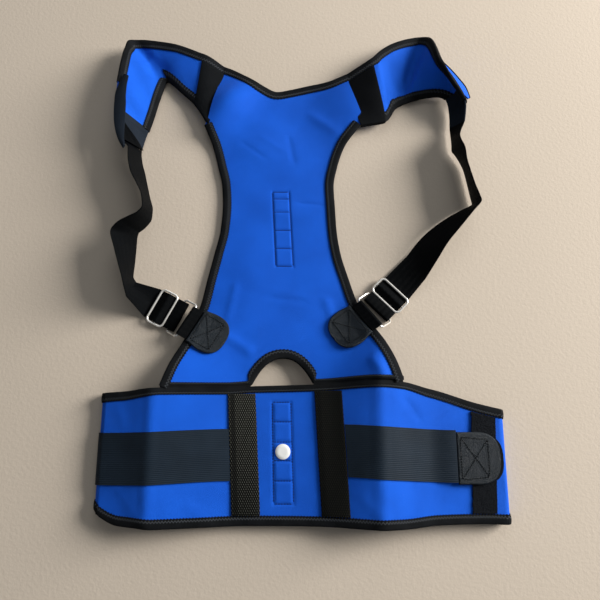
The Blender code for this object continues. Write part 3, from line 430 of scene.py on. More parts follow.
def stayPaint(name, light):
    # light dots where two sine waves of 4.8 and 2.4 mm rise together, fainter near 4.6 mm across; the dots take
    # the given colour, which for the right stay is darkened as painted shade
    paint = Paint(name)
    u, v = paint.places()
    over = (u * stayWaves[0]).wave() * (v * stayWaves[1]).wave()
    fine = paint.noise(paint.here, 1200.0, 3.0)
    margin = 1.0 - (v - 0.0046).size().soft(0.0018, 0.0030)
    share = over.soft(0.25, 0.80) * (1.0 - margin * 0.75) * (fine * 0.8 + 0.4)
    colour = paint.mix(share, (0.0030, 0.0034, 0.0030), light)
    return paint.close(colour, 0.6 + fine * 0.2, over + fine * 0.5, 0.00022, {"Specular IOR Level": 0.07})


def elasticPaint():
    # ribs 1.9 mm apart along the elastic, cross threads 0.7 mm apart, and a soft gloss
    paint = Paint("ribbed_elastic")
    u, v = paint.places()
    ribs = (v * 3307.0).wave()
    picks = (u * 8976.0 + (v * 1653.5).wave() * 1.5).wave()
    fine = paint.noise(paint.here, 1500.0, 2.0)
    broad = paint.noise(paint.here, 30.0, 3.0)
    share = (ribs * 0.2 + picks * 0.1 + broad).soft(0.1, 0.9)
    colour = paint.mix(share, (0.0062, 0.0115, 0.0185), (0.0115, 0.0205, 0.0330))
    return paint.close(colour, 0.52 + fine * 0.14, ribs * 0.8 + picks * 0.35 + fine * 0.3, 0.00008,
                       {"Specular IOR Level": 0.13})


def leatherPaint():
    # pebbled grain from cells 1 mm wide, darker in the creases between them
    paint = Paint("grained_leatherette")
    paint.places()
    cells = paint.add(
        "ShaderNodeTexVoronoi",
        {"feature": "DISTANCE_TO_EDGE"},
        {"Vector": paint.here, "Scale": 950.0},
    )
    pebble = Signal(paint, cells.outputs["Distance"]).soft(0.0, 0.22)
    fine = paint.noise(paint.here, 1800.0, 2.0)
    broad = paint.noise(paint.here, 60.0, 4.0)
    colour = paint.mix(pebble, (0.0042, 0.0068, 0.0095), (0.0090, 0.0140, 0.0195))
    colour = paint.mix(broad.soft(0.5, 0.8) * 0.5, colour, (0.014, 0.020, 0.028))
    height = pebble + fine * 0.3
    return paint.close(colour, 0.50 - pebble * 0.12, height, 0.00014, {"Specular IOR Level": 0.22})


def fleecePaint():
    # matted fibres: stretched noise over fine noise
    paint = Paint("hook_and_fleece")
    paint.places()
    fine = paint.noise(paint.here, 1100.0, 5.0, 0.7)
    broad = paint.noise(paint.here, 120.0, 3.0)
    colour = paint.mix(fine.soft(0.35, 0.75), (0.0022, 0.0026, 0.0036), (0.0130, 0.0150, 0.0190))
    return paint.close(colour, 0.92, fine * 1.2 + broad, 0.0006, {"Specular IOR Level": 0.08})


def metalPaint():
    # plated wire: drawing lines along it, faint dull spots
    paint = Paint("plated_wire")
    paint.places()
    lines = paint.noise(paint.here, 500.0, 3.0)
    spots = paint.noise(paint.here, 160.0, 4.0)
    colour = paint.mix(spots.soft(0.4, 0.75), (0.90, 0.87, 0.82), (0.74, 0.71, 0.65))
    return paint.close(colour, spots * 0.16 + 0.20, lines, 0.00002, {"Metallic": 0.65})


def labelPaint():
    # white film with the faintest unevenness
    paint = Paint("white_film")
    paint.places()
    broad = paint.noise(paint.here, 300.0, 3.0)
    colour = paint.mix(broad, (0.80, 0.80, 0.77), (0.88, 0.88, 0.86))
    return paint.close(colour, broad * 0.1 + 0.36, broad, 0.00004, {})


def threadPaint(name, dark, light):
    # twisted thread: a fine mottle from dark to light
    paint = Paint(name)
    paint.places()
    fine = paint.noise(paint.here, 2600.0, 2.0)
    colour = paint.mix(fine.soft(0.35, 0.65), dark, light)
    return paint.close(colour, 0.6, fine, 0.00008, {"Specular IOR Level": 0.15})


paints = {
    "neoprene": neoprenePaint(),
    "tape": tapePaint(),
    "webbing": webbingPaint("black_webbing", (0.0013, 0.0016, 0.0019), (0.0036, 0.0042, 0.0050), 0.0016,
                            0.00014),
    "band": webbingPaint("seam_webbing", (0.0028, 0.0032, 0.0038), (0.0075, 0.0085, 0.0100), 0.0019,
                         0.00010),
    "end": webbingPaint("slate_webbing", (0.0085, 0.012, 0.018), (0.018, 0.024, 0.034), 0.0013, 0.00008),
    "stayLeft": stayPaint("coarse_webbing", (0.085, 0.086, 0.072)),
    # the right stay: the same webbing with its dots painted darker, as painted shade for that band's slope away
    # from the key light
    "stayRight": stayPaint("painted_shade_webbing", (0.026, 0.025, 0.020)),
    "elastic": elasticPaint(),
    "leather": leatherPaint(),
    "fleece": fleecePaint(),
    "metal": metalPaint(),
    "label": labelPaint(),
    "blueThread": threadPaint("blue_thread", (0.0012, 0.006, 0.055), (0.0024, 0.014, 0.105)),
    "blackThread": threadPaint("black_thread", (0.0015, 0.0018, 0.0020), (0.004, 0.0045, 0.005)),
}
print("materials made")


# The back panel. Sides: rise over the length, left and right edge over the half width; the seams and the
# neckline alike
panel = {
    "length": 0.360, "half": 0.131, "archWidth": 0.0680, "archHeight": 0.0285, "archSide": 0.0010,
    "archPower": 2.3, "puff": 0.0100, "fade": 0.092, "drop": 0.0030,
    "sides": (
        (0.000, 0.985, 0.992), (0.069, 0.916, 0.922), (0.136, 0.824, 0.836), (0.194, 0.760, 0.746),
        (0.258, 0.695, 0.649), (0.339, 0.645, 0.573), (0.422, 0.592, 0.506), (0.500, 0.547, 0.475),
        (0.578, 0.533, 0.463), (0.653, 0.545, 0.454), (0.722, 0.588, 0.489), (0.792, 0.639, 0.557),
        (0.867, 0.722, 0.710),
    ),
    "leftSeam": ((0.876, 0.702), (0.900, 0.684), (1.050, 0.592), (1.094, 0.573)),
    "rightSeam": ((0.864, 0.748), (0.900, 0.728), (1.010, 0.620), (1.050, 0.600)),
    "neckline": (
        (-0.573, 1.094), (-0.481, 1.079), (-0.298, 1.034), (-0.186, 1.012), (-0.061, 0.996),
        (0.069, 1.004), (0.229, 1.016), (0.427, 1.027), (0.600, 1.050),
    ),
    "rises": (
        (-0.500, 0.945, 0.95, 0.40, 0.16, 46.0), (0.700, 0.960, 1.10, 0.50, 0.34, 104.0),
        (-0.200, 0.800, 0.28, 0.30, 0.22, -35.0), (0.180, 0.560, 0.14, 0.35, 0.10, 2.0),
        (-0.560, 0.960, 0.55, 0.22, 0.30, 104.0), (-0.330, 0.330, 0.18, 0.45, 0.25, 70.0),
        (0.870, 0.135, 0.65, 0.34, 0.24, 104.0),
    ),
}
# The belt. Relief: distance from its middle over its half width, height over the ridge; edges alike. Seam: x,
# how far the top edge is raised there, and the width of its tape
belt = {
    "half": 0.2160, "shift": 0.0225, "height": 0.1430, "ridge": 0.0300, "flap": 0.1350,
    "relief": (
        (-1.000, 0.36), (-0.870, 0.55), (-0.785, 0.73), (-0.735, 0.83), (-0.685, 0.77), (-0.498, 0.51),
        (-0.289, 0.31), (-0.104, 0.34), (0.127, 0.49), (0.320, 0.88), (0.382, 0.99), (0.432, 0.91),
        (0.544, 0.66), (0.683, 0.46), (0.845, 0.38), (1.000, 0.36),
    ),
    "edges": (
        (-1.000, 0.032, 0.868), (-0.970, 0.030, 0.913), (-0.873, 0.026, 0.968), (-0.775, 0.008, 0.976),
        (-0.699, 0.000, 0.984), (-0.104, 0.000, 0.976), (0.382, 0.000, 0.980), (0.488, 0.002, 0.982),
        (0.646, 0.034, 0.966), (0.877, 0.128, 0.962), (1.000, 0.168, 0.968),
    ),
    "seam": (
        (-0.1935, 0.0010, 0.0090), (-0.1500, 0.0022, 0.0080), (-0.1280, 0.0018, 0.0062),
        (-0.0600, 0.0020, 0.0058),
        (-0.0330, 0.0036, 0.0059), (0.0340, 0.0054, 0.0060), (0.0550, 0.0064, 0.0060),
        (0.1050, 0.0096, 0.0062),
        (0.1320, 0.0082, 0.0066), (0.1600, 0.0052, 0.0080), (0.2385, 0.0030, 0.0088),
    ),
}
beltTop = -(panel["drop"] + edgeInset + 2 * gap)
flapLie = thick["neoprene"] / 2 + 2 * gap + thick["elastic"]
# Sewn pockets: their two long seams from top to bottom, and the heights of their rungs
upperPocket = {"left": ((-0.0123, 0.2275), (-0.0073, 0.1346)), "right": ((0.0073, 0.2275), (0.0124, 0.1373)),
               "rungs": (0.2275, 0.2188, 0.2020, 0.1797, 0.1573, 0.1361)}
lowerPocket = {"left": ((-0.0093, -0.0184), (-0.0066, -0.1227)),
               "right": ((0.0105, -0.0184), (0.0140, -0.1227)),
               "rungs": (-0.0184, -0.0392, -0.0601, -0.0793, -0.0997, -0.1227)}


def pocketSide(pocket, side, y):
    (x0, y0), (x1, y1) = pocket[side]
    return x0 + (x1 - x0) * (y - y0) / (y1 - y0)


def pocketDent(pocket, x, y, depth):
    # -depth * the highest of exp(-(d / 1.4 mm)^2) over the seams, faded past both ends
    left = pocketSide(pocket, "left", y)
    right = pocketSide(pocket, "right", y)
    top = pocket["rungs"][0]
    bottom = pocket["rungs"][-1]
    inside = ease((y - bottom + 0.003) / 0.003) * ease((top + 0.003 - y) / 0.003)
    long = np.maximum(hill((x - left) / 0.0014), hill((x - right) / 0.0014)) * inside
    between = ease((x - left + 0.002) / 0.002) * ease((right + 0.002 - x) / 0.002)
    cross = 0.0
    for rung in pocket["rungs"]:
        cross = np.maximum(cross, hill((y - rung) / 0.0013) * between)
    crown = 0.35 * between * inside
    return -depth * (np.maximum(long, cross) - crown)


def creases(x, y, lines):
    # each line: two ends, height, width; height * exp(-(d / w)^2) with the ends faded
    total = np.zeros(np.shape(x))
    for x0, y0, x1, y1, height, width in lines:
        span = math.hypot(x1 - x0, y1 - y0)
        ax = (x1 - x0) / span
        ay = (y1 - y0) / span
        along = (x - x0) * ax + (y - y0) * ay
        off = (y - y0) * ax - (x - x0) * ay
        fade = ease(along / (0.3 * span) + 0.3) * ease((span - along) / (0.3 * span) + 0.3)
        total = total + height * hill(off / width) * fade
    return total


panelCreases = (
    (-0.052, 0.292, -0.018, 0.268, -0.0003, 0.0030), (-0.030, 0.300, 0.004, 0.278, 0.0003, 0.0040),
    (0.016, 0.214, 0.052, 0.210, -0.0006, 0.0025), (0.006, 0.300, 0.014, 0.262, -0.0005, 0.0040),
    (-0.071, 0.060, -0.030, 0.034, 0.0012, 0.0060), (-0.020, 0.100, 0.030, 0.094, -0.0005, 0.0040),
    (-0.052, 0.118, -0.062, 0.070, 0.0007, 0.0050), (0.048, 0.100, 0.062, 0.062, 0.0010, 0.0060),
    (0.096, 0.030, 0.112, 0.008, 0.0014, 0.0060), (0.030, 0.330, 0.070, 0.300, 0.0008, 0.0060),
)


def seamRead(column, x):
    return softRead(belt["seam"], column, np.clip(x, belt["seam"][0][0], belt["seam"][-1][0]))


def beltShare(x):
    # distance from the belt's middle over its half width
    return np.clip((x - belt["shift"]) / belt["half"], -1.0, 1.0)


def beltRelief(x):
    return belt["ridge"] * softRead(belt["relief"], 1, beltShare(x))


def basePanel(x, y):
    # the belt's height fading out above the seam, and gaussian rises
    fading = 1 - ease(y / panel["fade"])
    height = halfBound + (beltRelief(x) - halfBound) * fading
    for across, up, share, along, wide, turn in panel["rises"]:
        angle = math.radians(turn)
        dx = x - across * panel["half"]
        dy = y - up * panel["length"]
        a = (dx * math.cos(angle) + dy * math.sin(angle)) / (along * panel["half"])
        b = (dy * math.cos(angle) - dx * math.sin(angle)) / (wide * panel["half"])
        height = height + panel["puff"] * share * np.exp(-a * a - b * b)
    return height


def onPanel(x, y):
    # the base height with sewn dents, creases and a slow waviness
    wavy = 0.0003 * np.sin(x * 90 + 1.5 * np.sin(y * 60)) * np.sin(y * 70 + 2.0)
    height = basePanel(x, y) + pocketDent(upperPocket, x, y, 0.0011) + creases(x, y, panelCreases) + wavy
    return np.stack([x, y, height], axis=-1)


def panelPlan(sideCount, seamCount, columnCount):
    # edges read from the tables, straight between them, then the arch and the neckline laid in
    side = np.linspace(0.0, 1.0, sideCount)
    seam = np.linspace(0.0, 1.0, seamCount + 1)[1:]
    share = np.linspace(0.0, 1.0, columnCount)[None, :]
    top = panel["sides"][-1][0]
    edges = []
    for column, table, sign in ((1, panel["leftSeam"], -1), (2, panel["rightSeam"], 1)):
        rows = np.array(table)
        upSeam = rows[0, 0] + (rows[-1, 0] - rows[0, 0]) * seam
        below = softRead(panel["sides"], column, side * top)
        xs = np.concatenate([below, np.interp(upSeam, rows[:, 0], rows[:, 1])])
        edges.append((sign * panel["half"] * xs, panel["length"] * np.concatenate([side * top, upSeam])))
    (leftX, leftY), (rightX, rightY) = edges
    x = leftX[:, None] + (rightX - leftX)[:, None] * share
    y = leftY[:, None] + (rightY - leftY)[:, None] * share
    number = np.concatenate([
        np.interp(side, [0, 0.298, 1], [0, 8, 17]),
        np.interp(seam, [0, 0.885, 1], [17, 21, 22]),
    ])
    reach = ease((number / 22 - 0.55) / 0.45)
    neck = panel["length"] * softRead(panel["neckline"], 1, x[-1] / panel["half"]) - y[-1]
    y = y + neck[None, :] * reach[:, None]
    off = np.clip(np.abs(2 * (x[0] - panel["archSide"]) / panel["archWidth"]), 0.0, 1.0)
    arch = 1 - off ** panel["archPower"]
    low = 1 - ease(y / panel["length"] / 0.45)
    close = 1 - ease(y / panel["length"] / 0.25)
    return x, y + panel["archHeight"] * arch[None, :] * low - panel["drop"] * low + seamRead(1, x) * close


def planTape(line, side, end, extra, thin):
    # stations along a plan line, and points inwards over a scalloped width; a thin tape has its full width
    # at the arch alone
    spots = respaced(line, tapeStep)
    along = lengths(spots)
    kept = spots[along <= along[-1] - end]
    ahead = unit(np.gradient(kept, axis=0))
    aside = np.stack([-ahead[:, 1], ahead[:, 0]], axis=1) * side
    window = np.ones(15) / 15
    padded = np.concatenate([np.repeat(aside[:1], 7, axis=0), aside, np.repeat(aside[-1:], 7, axis=0)])
    aside = unit(np.stack([np.convolve(padded[:, k], window, "valid") for k in range(2)], axis=1))
    width = tapeWidth * scallop(lengths(kept))
    if thin:
        wide = 1 - ease((np.abs(kept[:, 0] - panel["archSide"]) - 0.028) / 0.010)
        width = width * (0.42 + 0.58 * wide)
    inward = tapeShares * width[:, None]
    plan = kept[:, None] + aside[:, None] * inward[..., None]
    return fold(onPanel(plan[..., 0], plan[..., 1]), tapeWidth, extra)


sideRows = 215
panelX, panelY = panelPlan(sideRows, 32, 200)
panelPoints = onPanel(panelX, panelY)
panelPiece = makePiece("panel_cloth", wall(panelPoints, thick["neoprene"]), "neoprene", "back_panel")
panelLine = np.stack([panelX, panelY], axis=-1)
# tapes: line, side that is inwards, what is left off at the end, height over the others, thin or not, node
tapes = {
    "panel_tape_left": (panelLine[:sideRows, 0], -1, 0.0005, 0.0004, False, "panel_binding_left"),
    "panel_tape_right": (panelLine[:sideRows, -1], 1, 0.0005, 0.0004, False, "panel_binding_right"),
    "hem_tape": (panelLine[0], 1, 0.0, -0.0001, True, "hem_binding"),
    "neckline_tape": (panelLine[-1], -1, 0.0, 0.0, False, "neckline_binding"),
}
for name, (line, side, end, extra, thin, node) in tapes.items():
    makePiece(name, planTape(line, side, end, extra, thin), "tape", node)
print("panel made")


def pocketThread(name, pocket, surface):
    # stitches on both long seams and on each rung
    shapes = []
    top = pocket["rungs"][0]
    bottom = pocket["rungs"][-1]
    for side in ("left", "right"):
        y = np.linspace(top, bottom, 120)
        shapes.append((pocketSide(pocket, side, y), y))
    for rung in pocket["rungs"]:
        x = np.linspace(pocketSide(pocket, "left", rung), pocketSide(pocket, "right", rung), 30)
        shapes.append((x, np.full(30, rung)))
    made = []
    for x, y in shapes:
        spots = surface(x, y)
        slope = (surface(x + 0.001, y)[:, 2] - surface(x - 0.001, y)[:, 2]) / 0.002
        ups = unit(np.stack([-slope, np.zeros(len(x)), np.ones(len(x))], axis=1))
        made.append(stitches(spots + ups * (thick["neoprene"] / 2), ups, 0.0030, 0.84, 0.00048))
    makePiece(name, merged(made), "blueThread")


pocketThread("upper_pocket_thread", upperPocket, onPanel)


# The belt

def beltEdges(x):
    share = beltShare(x)
    top = beltTop - belt["height"] * softRead(belt["edges"], 1, share)
    bottom = beltTop - belt["height"] * softRead(belt["edges"], 2, share)
    return top - edgeInset + seamRead(1, x), bottom + edgeInset


def beltLine():
    # x and z from the left end under the front, round the left half circle, over the front and back under
    foldHeight = belt["ridge"] * belt["relief"][0][1]
    radius = (foldHeight - flapLie) / 2
    left = belt["shift"] - belt["half"] + radius
    right = belt["shift"] + belt["half"] - radius
    flap = np.linspace(0.0, 1.0, 24)
    turn = np.linspace(0.0, math.pi, 18)[1:-1]
    front = np.linspace(left, right, 300)
    middle = (foldHeight + flapLie) / 2
    x = np.concatenate([left + belt["flap"] * (1 - flap), left - radius * np.sin(turn), front,
                        right + radius * np.sin(turn), right - belt["flap"] * flap])
    z = np.concatenate([np.full(24, flapLie), middle - radius * np.cos(turn), beltRelief(front),
                        middle + radius * np.cos(turn), np.full(24, flapLie)])
    isFront = np.concatenate([np.zeros(40), np.ones(300), np.zeros(40)])
    return x, z, isFront


beltCreases = (
    (-0.1780, -0.020, -0.1600, -0.052, 0.0003, 0.0050), (-0.1750, -0.100, -0.1400, -0.140, 0.0004, 0.0060),
    (-0.1000, -0.120, -0.0700, -0.142, 0.0004, 0.0060), (0.0800, -0.110, 0.1100, -0.140, 0.0005, 0.0070),
    (0.1300, -0.012, 0.1500, -0.040, -0.0005, 0.0050), (0.2100, -0.060, 0.2000, -0.140, 0.0006, 0.0050),
)


def beltDetail(x, y):
    # dents of the sewn pocket, a few creases, slow waviness
    wavy = 0.00035 * np.sin(x * 75 + 1.2 * np.sin(y * 55)) * np.sin(y * 60 + 1.0)
    return pocketDent(lowerPocket, x, y, 0.0011) + creases(x, y, beltCreases) + wavy


def onBelt(x, y):
    return np.stack([x, y, beltRelief(x) + beltDetail(x, y)], axis=-1)


lineX, lineZ, isFront = beltLine()
topEdge, bottomEdge = beltEdges(lineX)
down = np.linspace(0.0, 1.0, 92)[None, :]
beltY = topEdge[:, None] + (bottomEdge - topEdge)[:, None] * down
beltX = np.broadcast_to(lineX[:, None], beltY.shape)
beltZ = lineZ[:, None] + beltDetail(beltX, beltY) * isFront[:, None]
beltPoints = np.stack([beltX, beltY, beltZ], axis=-1)
beltPiece = makePiece("belt_cloth", wall(beltPoints, thick["neoprene"]), "neoprene", "belt")


def beltTape(name, upper, node):
    spots = respaced(np.stack([lineX, lineZ, isFront], axis=1), tapeStep)
    top, bottom = beltEdges(spots[:, 0])
    width = seamRead(2, spots[:, 0]) if upper else tapeWidth
    inward = tapeShares * (width * scallop(np.arange(len(spots)) * tapeStep))[:, None]
    y = top[:, None] - inward if upper else bottom[:, None] + inward
    x = np.broadcast_to(spots[:, :1], y.shape)
    z = spots[:, 1:2] + beltDetail(x, y) * spots[:, 2:3]
    makePiece(name, fold(np.stack([x, y, z], axis=-1), tapeWidth), "tape", node)


beltTape("belt_tape_top", True, "belt_binding_top")
beltTape("belt_tape_bottom", False, "belt_binding_bottom")
# the sewn joint between the hem's tape and the belt's, left and right of the arch
for name, start, end in (("joint_left", -0.1285, -0.0335), ("joint_right", 0.0355, 0.1305)):
    jointX = np.linspace(start, end, 160)[:, None] * np.ones((1, 5))
    jointY = beltTop + gap + seamRead(1, jointX) + np.linspace(-0.0022, 0.0022, 5)[None, :]
    joint = onBelt(jointX, jointY) + np.array([0.0, 0.0, onCloth + 0.0001])
    makePiece(name, wall(joint, thick["tape"]), "tape")
pocketThread("lower_pocket_thread", lowerPocket, onBelt)
print("belt made")


def beltPatch(left, right, y, lift, count):
    # points raised off the belt's smooth front between two lines of x
    across = np.linspace(0.0, 1.0, count)[None, :]
    x = left[:, None] + (right - left)[:, None] * across
    rows = np.broadcast_to(np.reshape(y, (len(left), -1)), x.shape)
    slope = (beltRelief(x + 0.0005) - beltRelief(x - 0.0005)) / 0.001
    away = unit(np.stack([-slope, np.zeros(x.shape), np.ones(x.shape)], axis=-1))
    points = np.stack([x, rows, beltRelief(x)], axis=-1)
    return points + away * np.broadcast_to(np.asarray(lift), x.shape)[..., None]


stay = {"width": 0.0300, "slant": 0.0070, "left": -0.0430, "right": 0.0510}
stretch = {"width": 0.0530, "under": 0.0250, "middle": -0.0730, "pitch": 0.0019, "depth": 0.00007}


def stayEdge(middle, side, y):
    top, bottom = beltEdges(np.array([middle]))
    share = (top[0] - seamRead(2, middle) - y) / (top[0] - bottom[0] - tapeWidth - seamRead(2, middle))
    return middle + side * (stay["width"] / 2 + gap) + stay["slant"] * share


def makeStays():
    for side in ("left", "right"):
        middle = stay[side]
        ends = beltRelief(np.array([middle - stay["width"] / 2, middle + stay["width"] / 2]))
        half = stay["width"] / 2 * math.cos(math.atan2(ends[1] - ends[0], stay["width"]))
        top, bottom = beltEdges(np.array([middle]))
        y = np.linspace(top[0] - seamRead(2, middle) - gap, bottom[0] + tapeWidth + gap, 250)
        slant = stay["slant"] * (0.5 + (y - y.mean()) / (y[-1] - y[0]))
        lift = onCloth + thick["webbing"] / 2
        points = beltPatch(middle - half + slant, middle + half + slant, y, lift, 56)
        u = np.arange(250)[:, None] * (y[0] - y[-1]) / 249
        v = np.arange(56)[None, :] * stay["width"] / 55
        weave = 0.00022 * np.sin(u * stayWaves[0]) * np.sin(v * stayWaves[1])
        crown = 0.0010 * np.sin(np.pi * v / stay["width"]) ** 0.6
        points = points + gridNormals(points) * (weave - 0.0002)[..., None]
        points[..., 2] += crown
        rim = 0.55 + 0.45 * softRim(points, 0.0012)
        band = wall(points, thick["webbing"] * rim)
        # the right stay gets the copy of the webbing paint whose dots hold painted shade
        makePiece(f"stay_{side}", band, f"stay{side.title()}", f"stay_band_{side}")


def ribbedBand(points):
    # a wall of the elastic's thickness whose middle is moved by depth * sin(2 pi v / pitch) along its normals
    across = lengths(points[points.shape[0] // 2])
    ribs = stretch["depth"] * np.sin(across * 2 * np.pi / stretch["pitch"])
    return wall(points + gridNormals(points) * ribs[None, :, None], thick["elastic"])


def makeElastics():
    lift = onCloth + thick["elastic"] / 2
    left = belt["shift"] - belt["half"]
    end = stayEdge(stay["left"], -1, stretch["middle"])
    first = int(np.argmax(lineX < left + stretch["under"]))
    last = int(np.argmax((lineX > end - stay["slant"]) & (np.arange(len(lineX)) > first + 40)))
    line = np.stack([lineX, np.zeros(len(lineX)), lineZ], axis=1)
    step = np.gradient(line, axis=0)
    away = unit(np.stack([-step[:, 2], np.zeros(len(lineX)), step[:, 0]], axis=1))
    kept = line[first:last] + away[first:last] * lift
    sag = 0.004 * ease((end - line[first:last, 0]) / (end - left))
    width = np.linspace(-0.5, 0.5, 120) * stretch["width"] + stretch["middle"]
    points = kept[:, None, :].repeat(120, axis=1)
    points[..., 1] = width[None, :] - sag[:, None]
    edge = stayEdge(stay["left"], -1, width)
    tips = beltPatch(edge, edge + 0.001, width, lift, 2)
    points = np.concatenate([points, tips[None, :, 0]])
    makePiece("elastic_band_left", ribbedBand(points), "elastic", "elastic_left")
    width = np.linspace(0.5, -0.5, 120) * stretch["width"] + stretch["middle"]
    start = stayEdge(stay["right"], 1, width)
    ends = np.full(120, tab["start"] - gap)
    along = np.linspace(0.0, 1.0, 90)[None, :]
    rows = width[:, None] + 0.006 * (1 - ease(along)) - 0.001
    stations = start[:, None] + (ends - start)[:, None] * along
    rise = lift + (tabRise - lift) * ease((stations - tab["start"] + 0.030) / 0.030)
    points = beltPatch(start, ends, rows, rise, 90).transpose(1, 0, 2)
    makePiece("elastic_band_right", ribbedBand(points), "elastic", "elastic_right")


tab = {"length": 0.0460, "start": 0.1850, "loopStart": 0.2045, "loopWidth": 0.0255}
tabRise = onCloth + thick["fleece"] + gap + thick["elastic"] + gap + thick["leather"] / 2


def roundEnd(length, half, turn, count):
    # half width (1 - c^2.6)^(1/2.6) past the share where it starts to turn
    along = np.concatenate([np.linspace(0.0, 0.9, count - 14), np.linspace(0.9, 1.0, 15)[1:]])
    curved = np.clip((along - turn) / (1 - turn), 0.0, 0.995)
    return along * length, half * (1 - curved ** 2.6) ** (1 / 2.6)


def leatherShape(points):
    # a rim rounded over 1.6 mm
    return wall(points, thick["leather"] * softRim(points, 0.0016))


def boxStitch(corners, surface):
    # thread round a box of four corners and along its two diagonals
    a, b, c, d = corners
    made = []
    for start, end in ((a, b), (b, c), (c, d), (d, a), (a, c), (b, d)):
        share = np.linspace(0.0, 1.0, 40)[:, None]
        spots, ups = surface(np.array(start) * (1 - share) + np.array(end) * share)
        made.append(stitches(spots, ups, 0.0027, 0.80, 0.00040))
    return merged(made)


def makeTab():
    middle = stretch["middle"] - 0.003
    along, half = roundEnd(tab["length"], stretch["width"] / 2, 0.45, 70)
    rows = np.linspace(1.0, -1.0, 60)[:, None] * half[None, :] + middle
    stations = tab["start"] + along
    points = beltPatch(np.full(60, stations[0]), np.full(60, stations[-1]), rows, tabRise, 70)
    points[..., 0] += (stations - np.linspace(stations[0], stations[-1], 70))[None, :]
    points[..., 2] = beltRelief(points[..., 0]) + tabRise
    makePiece("tab_leather", leatherShape(points), "leather", "elastic_tab")

    def surface(plan):
        z = beltRelief(plan[:, 0]) + tabRise + thick["leather"] / 2
        return np.column_stack([plan, z]), np.tile([0.0, 0.0, 1.0], (len(plan), 1))

    x0 = tab["start"] + 0.0045
    corners = ((x0, middle + 0.0215), (x0 + 0.029, middle + 0.0190), (x0 + 0.029, middle - 0.0190),
               (x0, middle - 0.0215))
    makePiece("tab_thread", boxStitch(corners, surface), "blackThread")
    padStart = tab["loopStart"] + 0.006
    padLength = belt["shift"] + belt["half"] - 0.0035 - padStart
    along, half = roundEnd(padLength, stretch["width"] / 2 - 0.003, 0.25, 40)
    rows = np.linspace(1.0, -1.0, 50)[:, None] * half[None, :] + middle - 0.001
    rise = onCloth + thick["fleece"] + gap + thick["elastic"] / 2
    points = beltPatch(np.full(50, padStart), np.full(50, padStart + padLength), rows, rise, 40)
    points[..., 0] = (padStart + along)[None, :]
    points[..., 2] = beltRelief(points[..., 0]) + rise
    makePiece("hook_layer", wall(points, thick["elastic"]), "fleece", "hook_pad")
    share = np.linspace(0.0, 1.0, 160)
    x = tab["loopStart"] - 0.005 * share
    topLeft = beltEdges(x)[0][0] - tapeWidth - 2 * gap
    bottomLeft = beltEdges(x)[1][-1] + tapeWidth + 2 * gap
    topRight = beltEdges(x + tab["loopWidth"])[0][0] - tapeWidth - 2 * gap
    bottomRight = beltEdges(x + tab["loopWidth"])[1][-1] + tapeWidth + 2 * gap
    leftY = topLeft + (bottomLeft - topLeft) * share
    rightY = topRight + (bottomRight - topRight) * share
    rows = leftY[:, None] + (rightY - leftY)[:, None] * np.linspace(0.0, 1.0, 40)[None, :]
    points = beltPatch(x, x + tab["loopWidth"], rows, onCloth + thick["fleece"] / 2, 40)
    fuzz = np.random.default_rng(7).normal(0.0, 0.00016, points.shape[:2])
    points[..., 2] += fuzz
    ragged = np.random.default_rng(8).normal(0.0, 0.0004, (160, 1))
    points[:, :3, 0] += ragged
    makePiece("fleece_strip", wall(points, thick["fleece"]), "fleece", "loop_strip")


makeStays()
makeElastics()
makeTab()


sticker = {"radius": 0.0080, "x": 0.0022, "y": -0.0700, "thickness": 0.0006, "bevel": 0.0002}


def makeSticker():
    # rings out from the middle, over a bevelled rim and back in, laid on the belt's slope
    radius = sticker["radius"]
    bevel = sticker["bevel"]
    top = sticker["thickness"]
    angle = np.arange(64) * 2 * np.pi / 64
    profile = ((0.0001, 0.0), (0.004, 0.0), (radius - bevel, 0.0), (radius, bevel), (radius, top - bevel),
               (radius - bevel, top), (0.004, top), (0.0001, top))
    rings = []
    for r, height in profile:
        x = sticker["x"] + r * np.cos(angle)
        y = sticker["y"] + r * np.sin(angle)
        rings.append(np.stack([x, y, beltRelief(x) + onCloth + gap + height], axis=1))
    rings = np.array(rings)
    uv = np.stack([rings[..., 0], rings[..., 1]], axis=-1)
    makePiece("sticker_disc", closedShape(rings, uv), "label", "size_sticker")


makeSticker()
print("belt's fittings made")

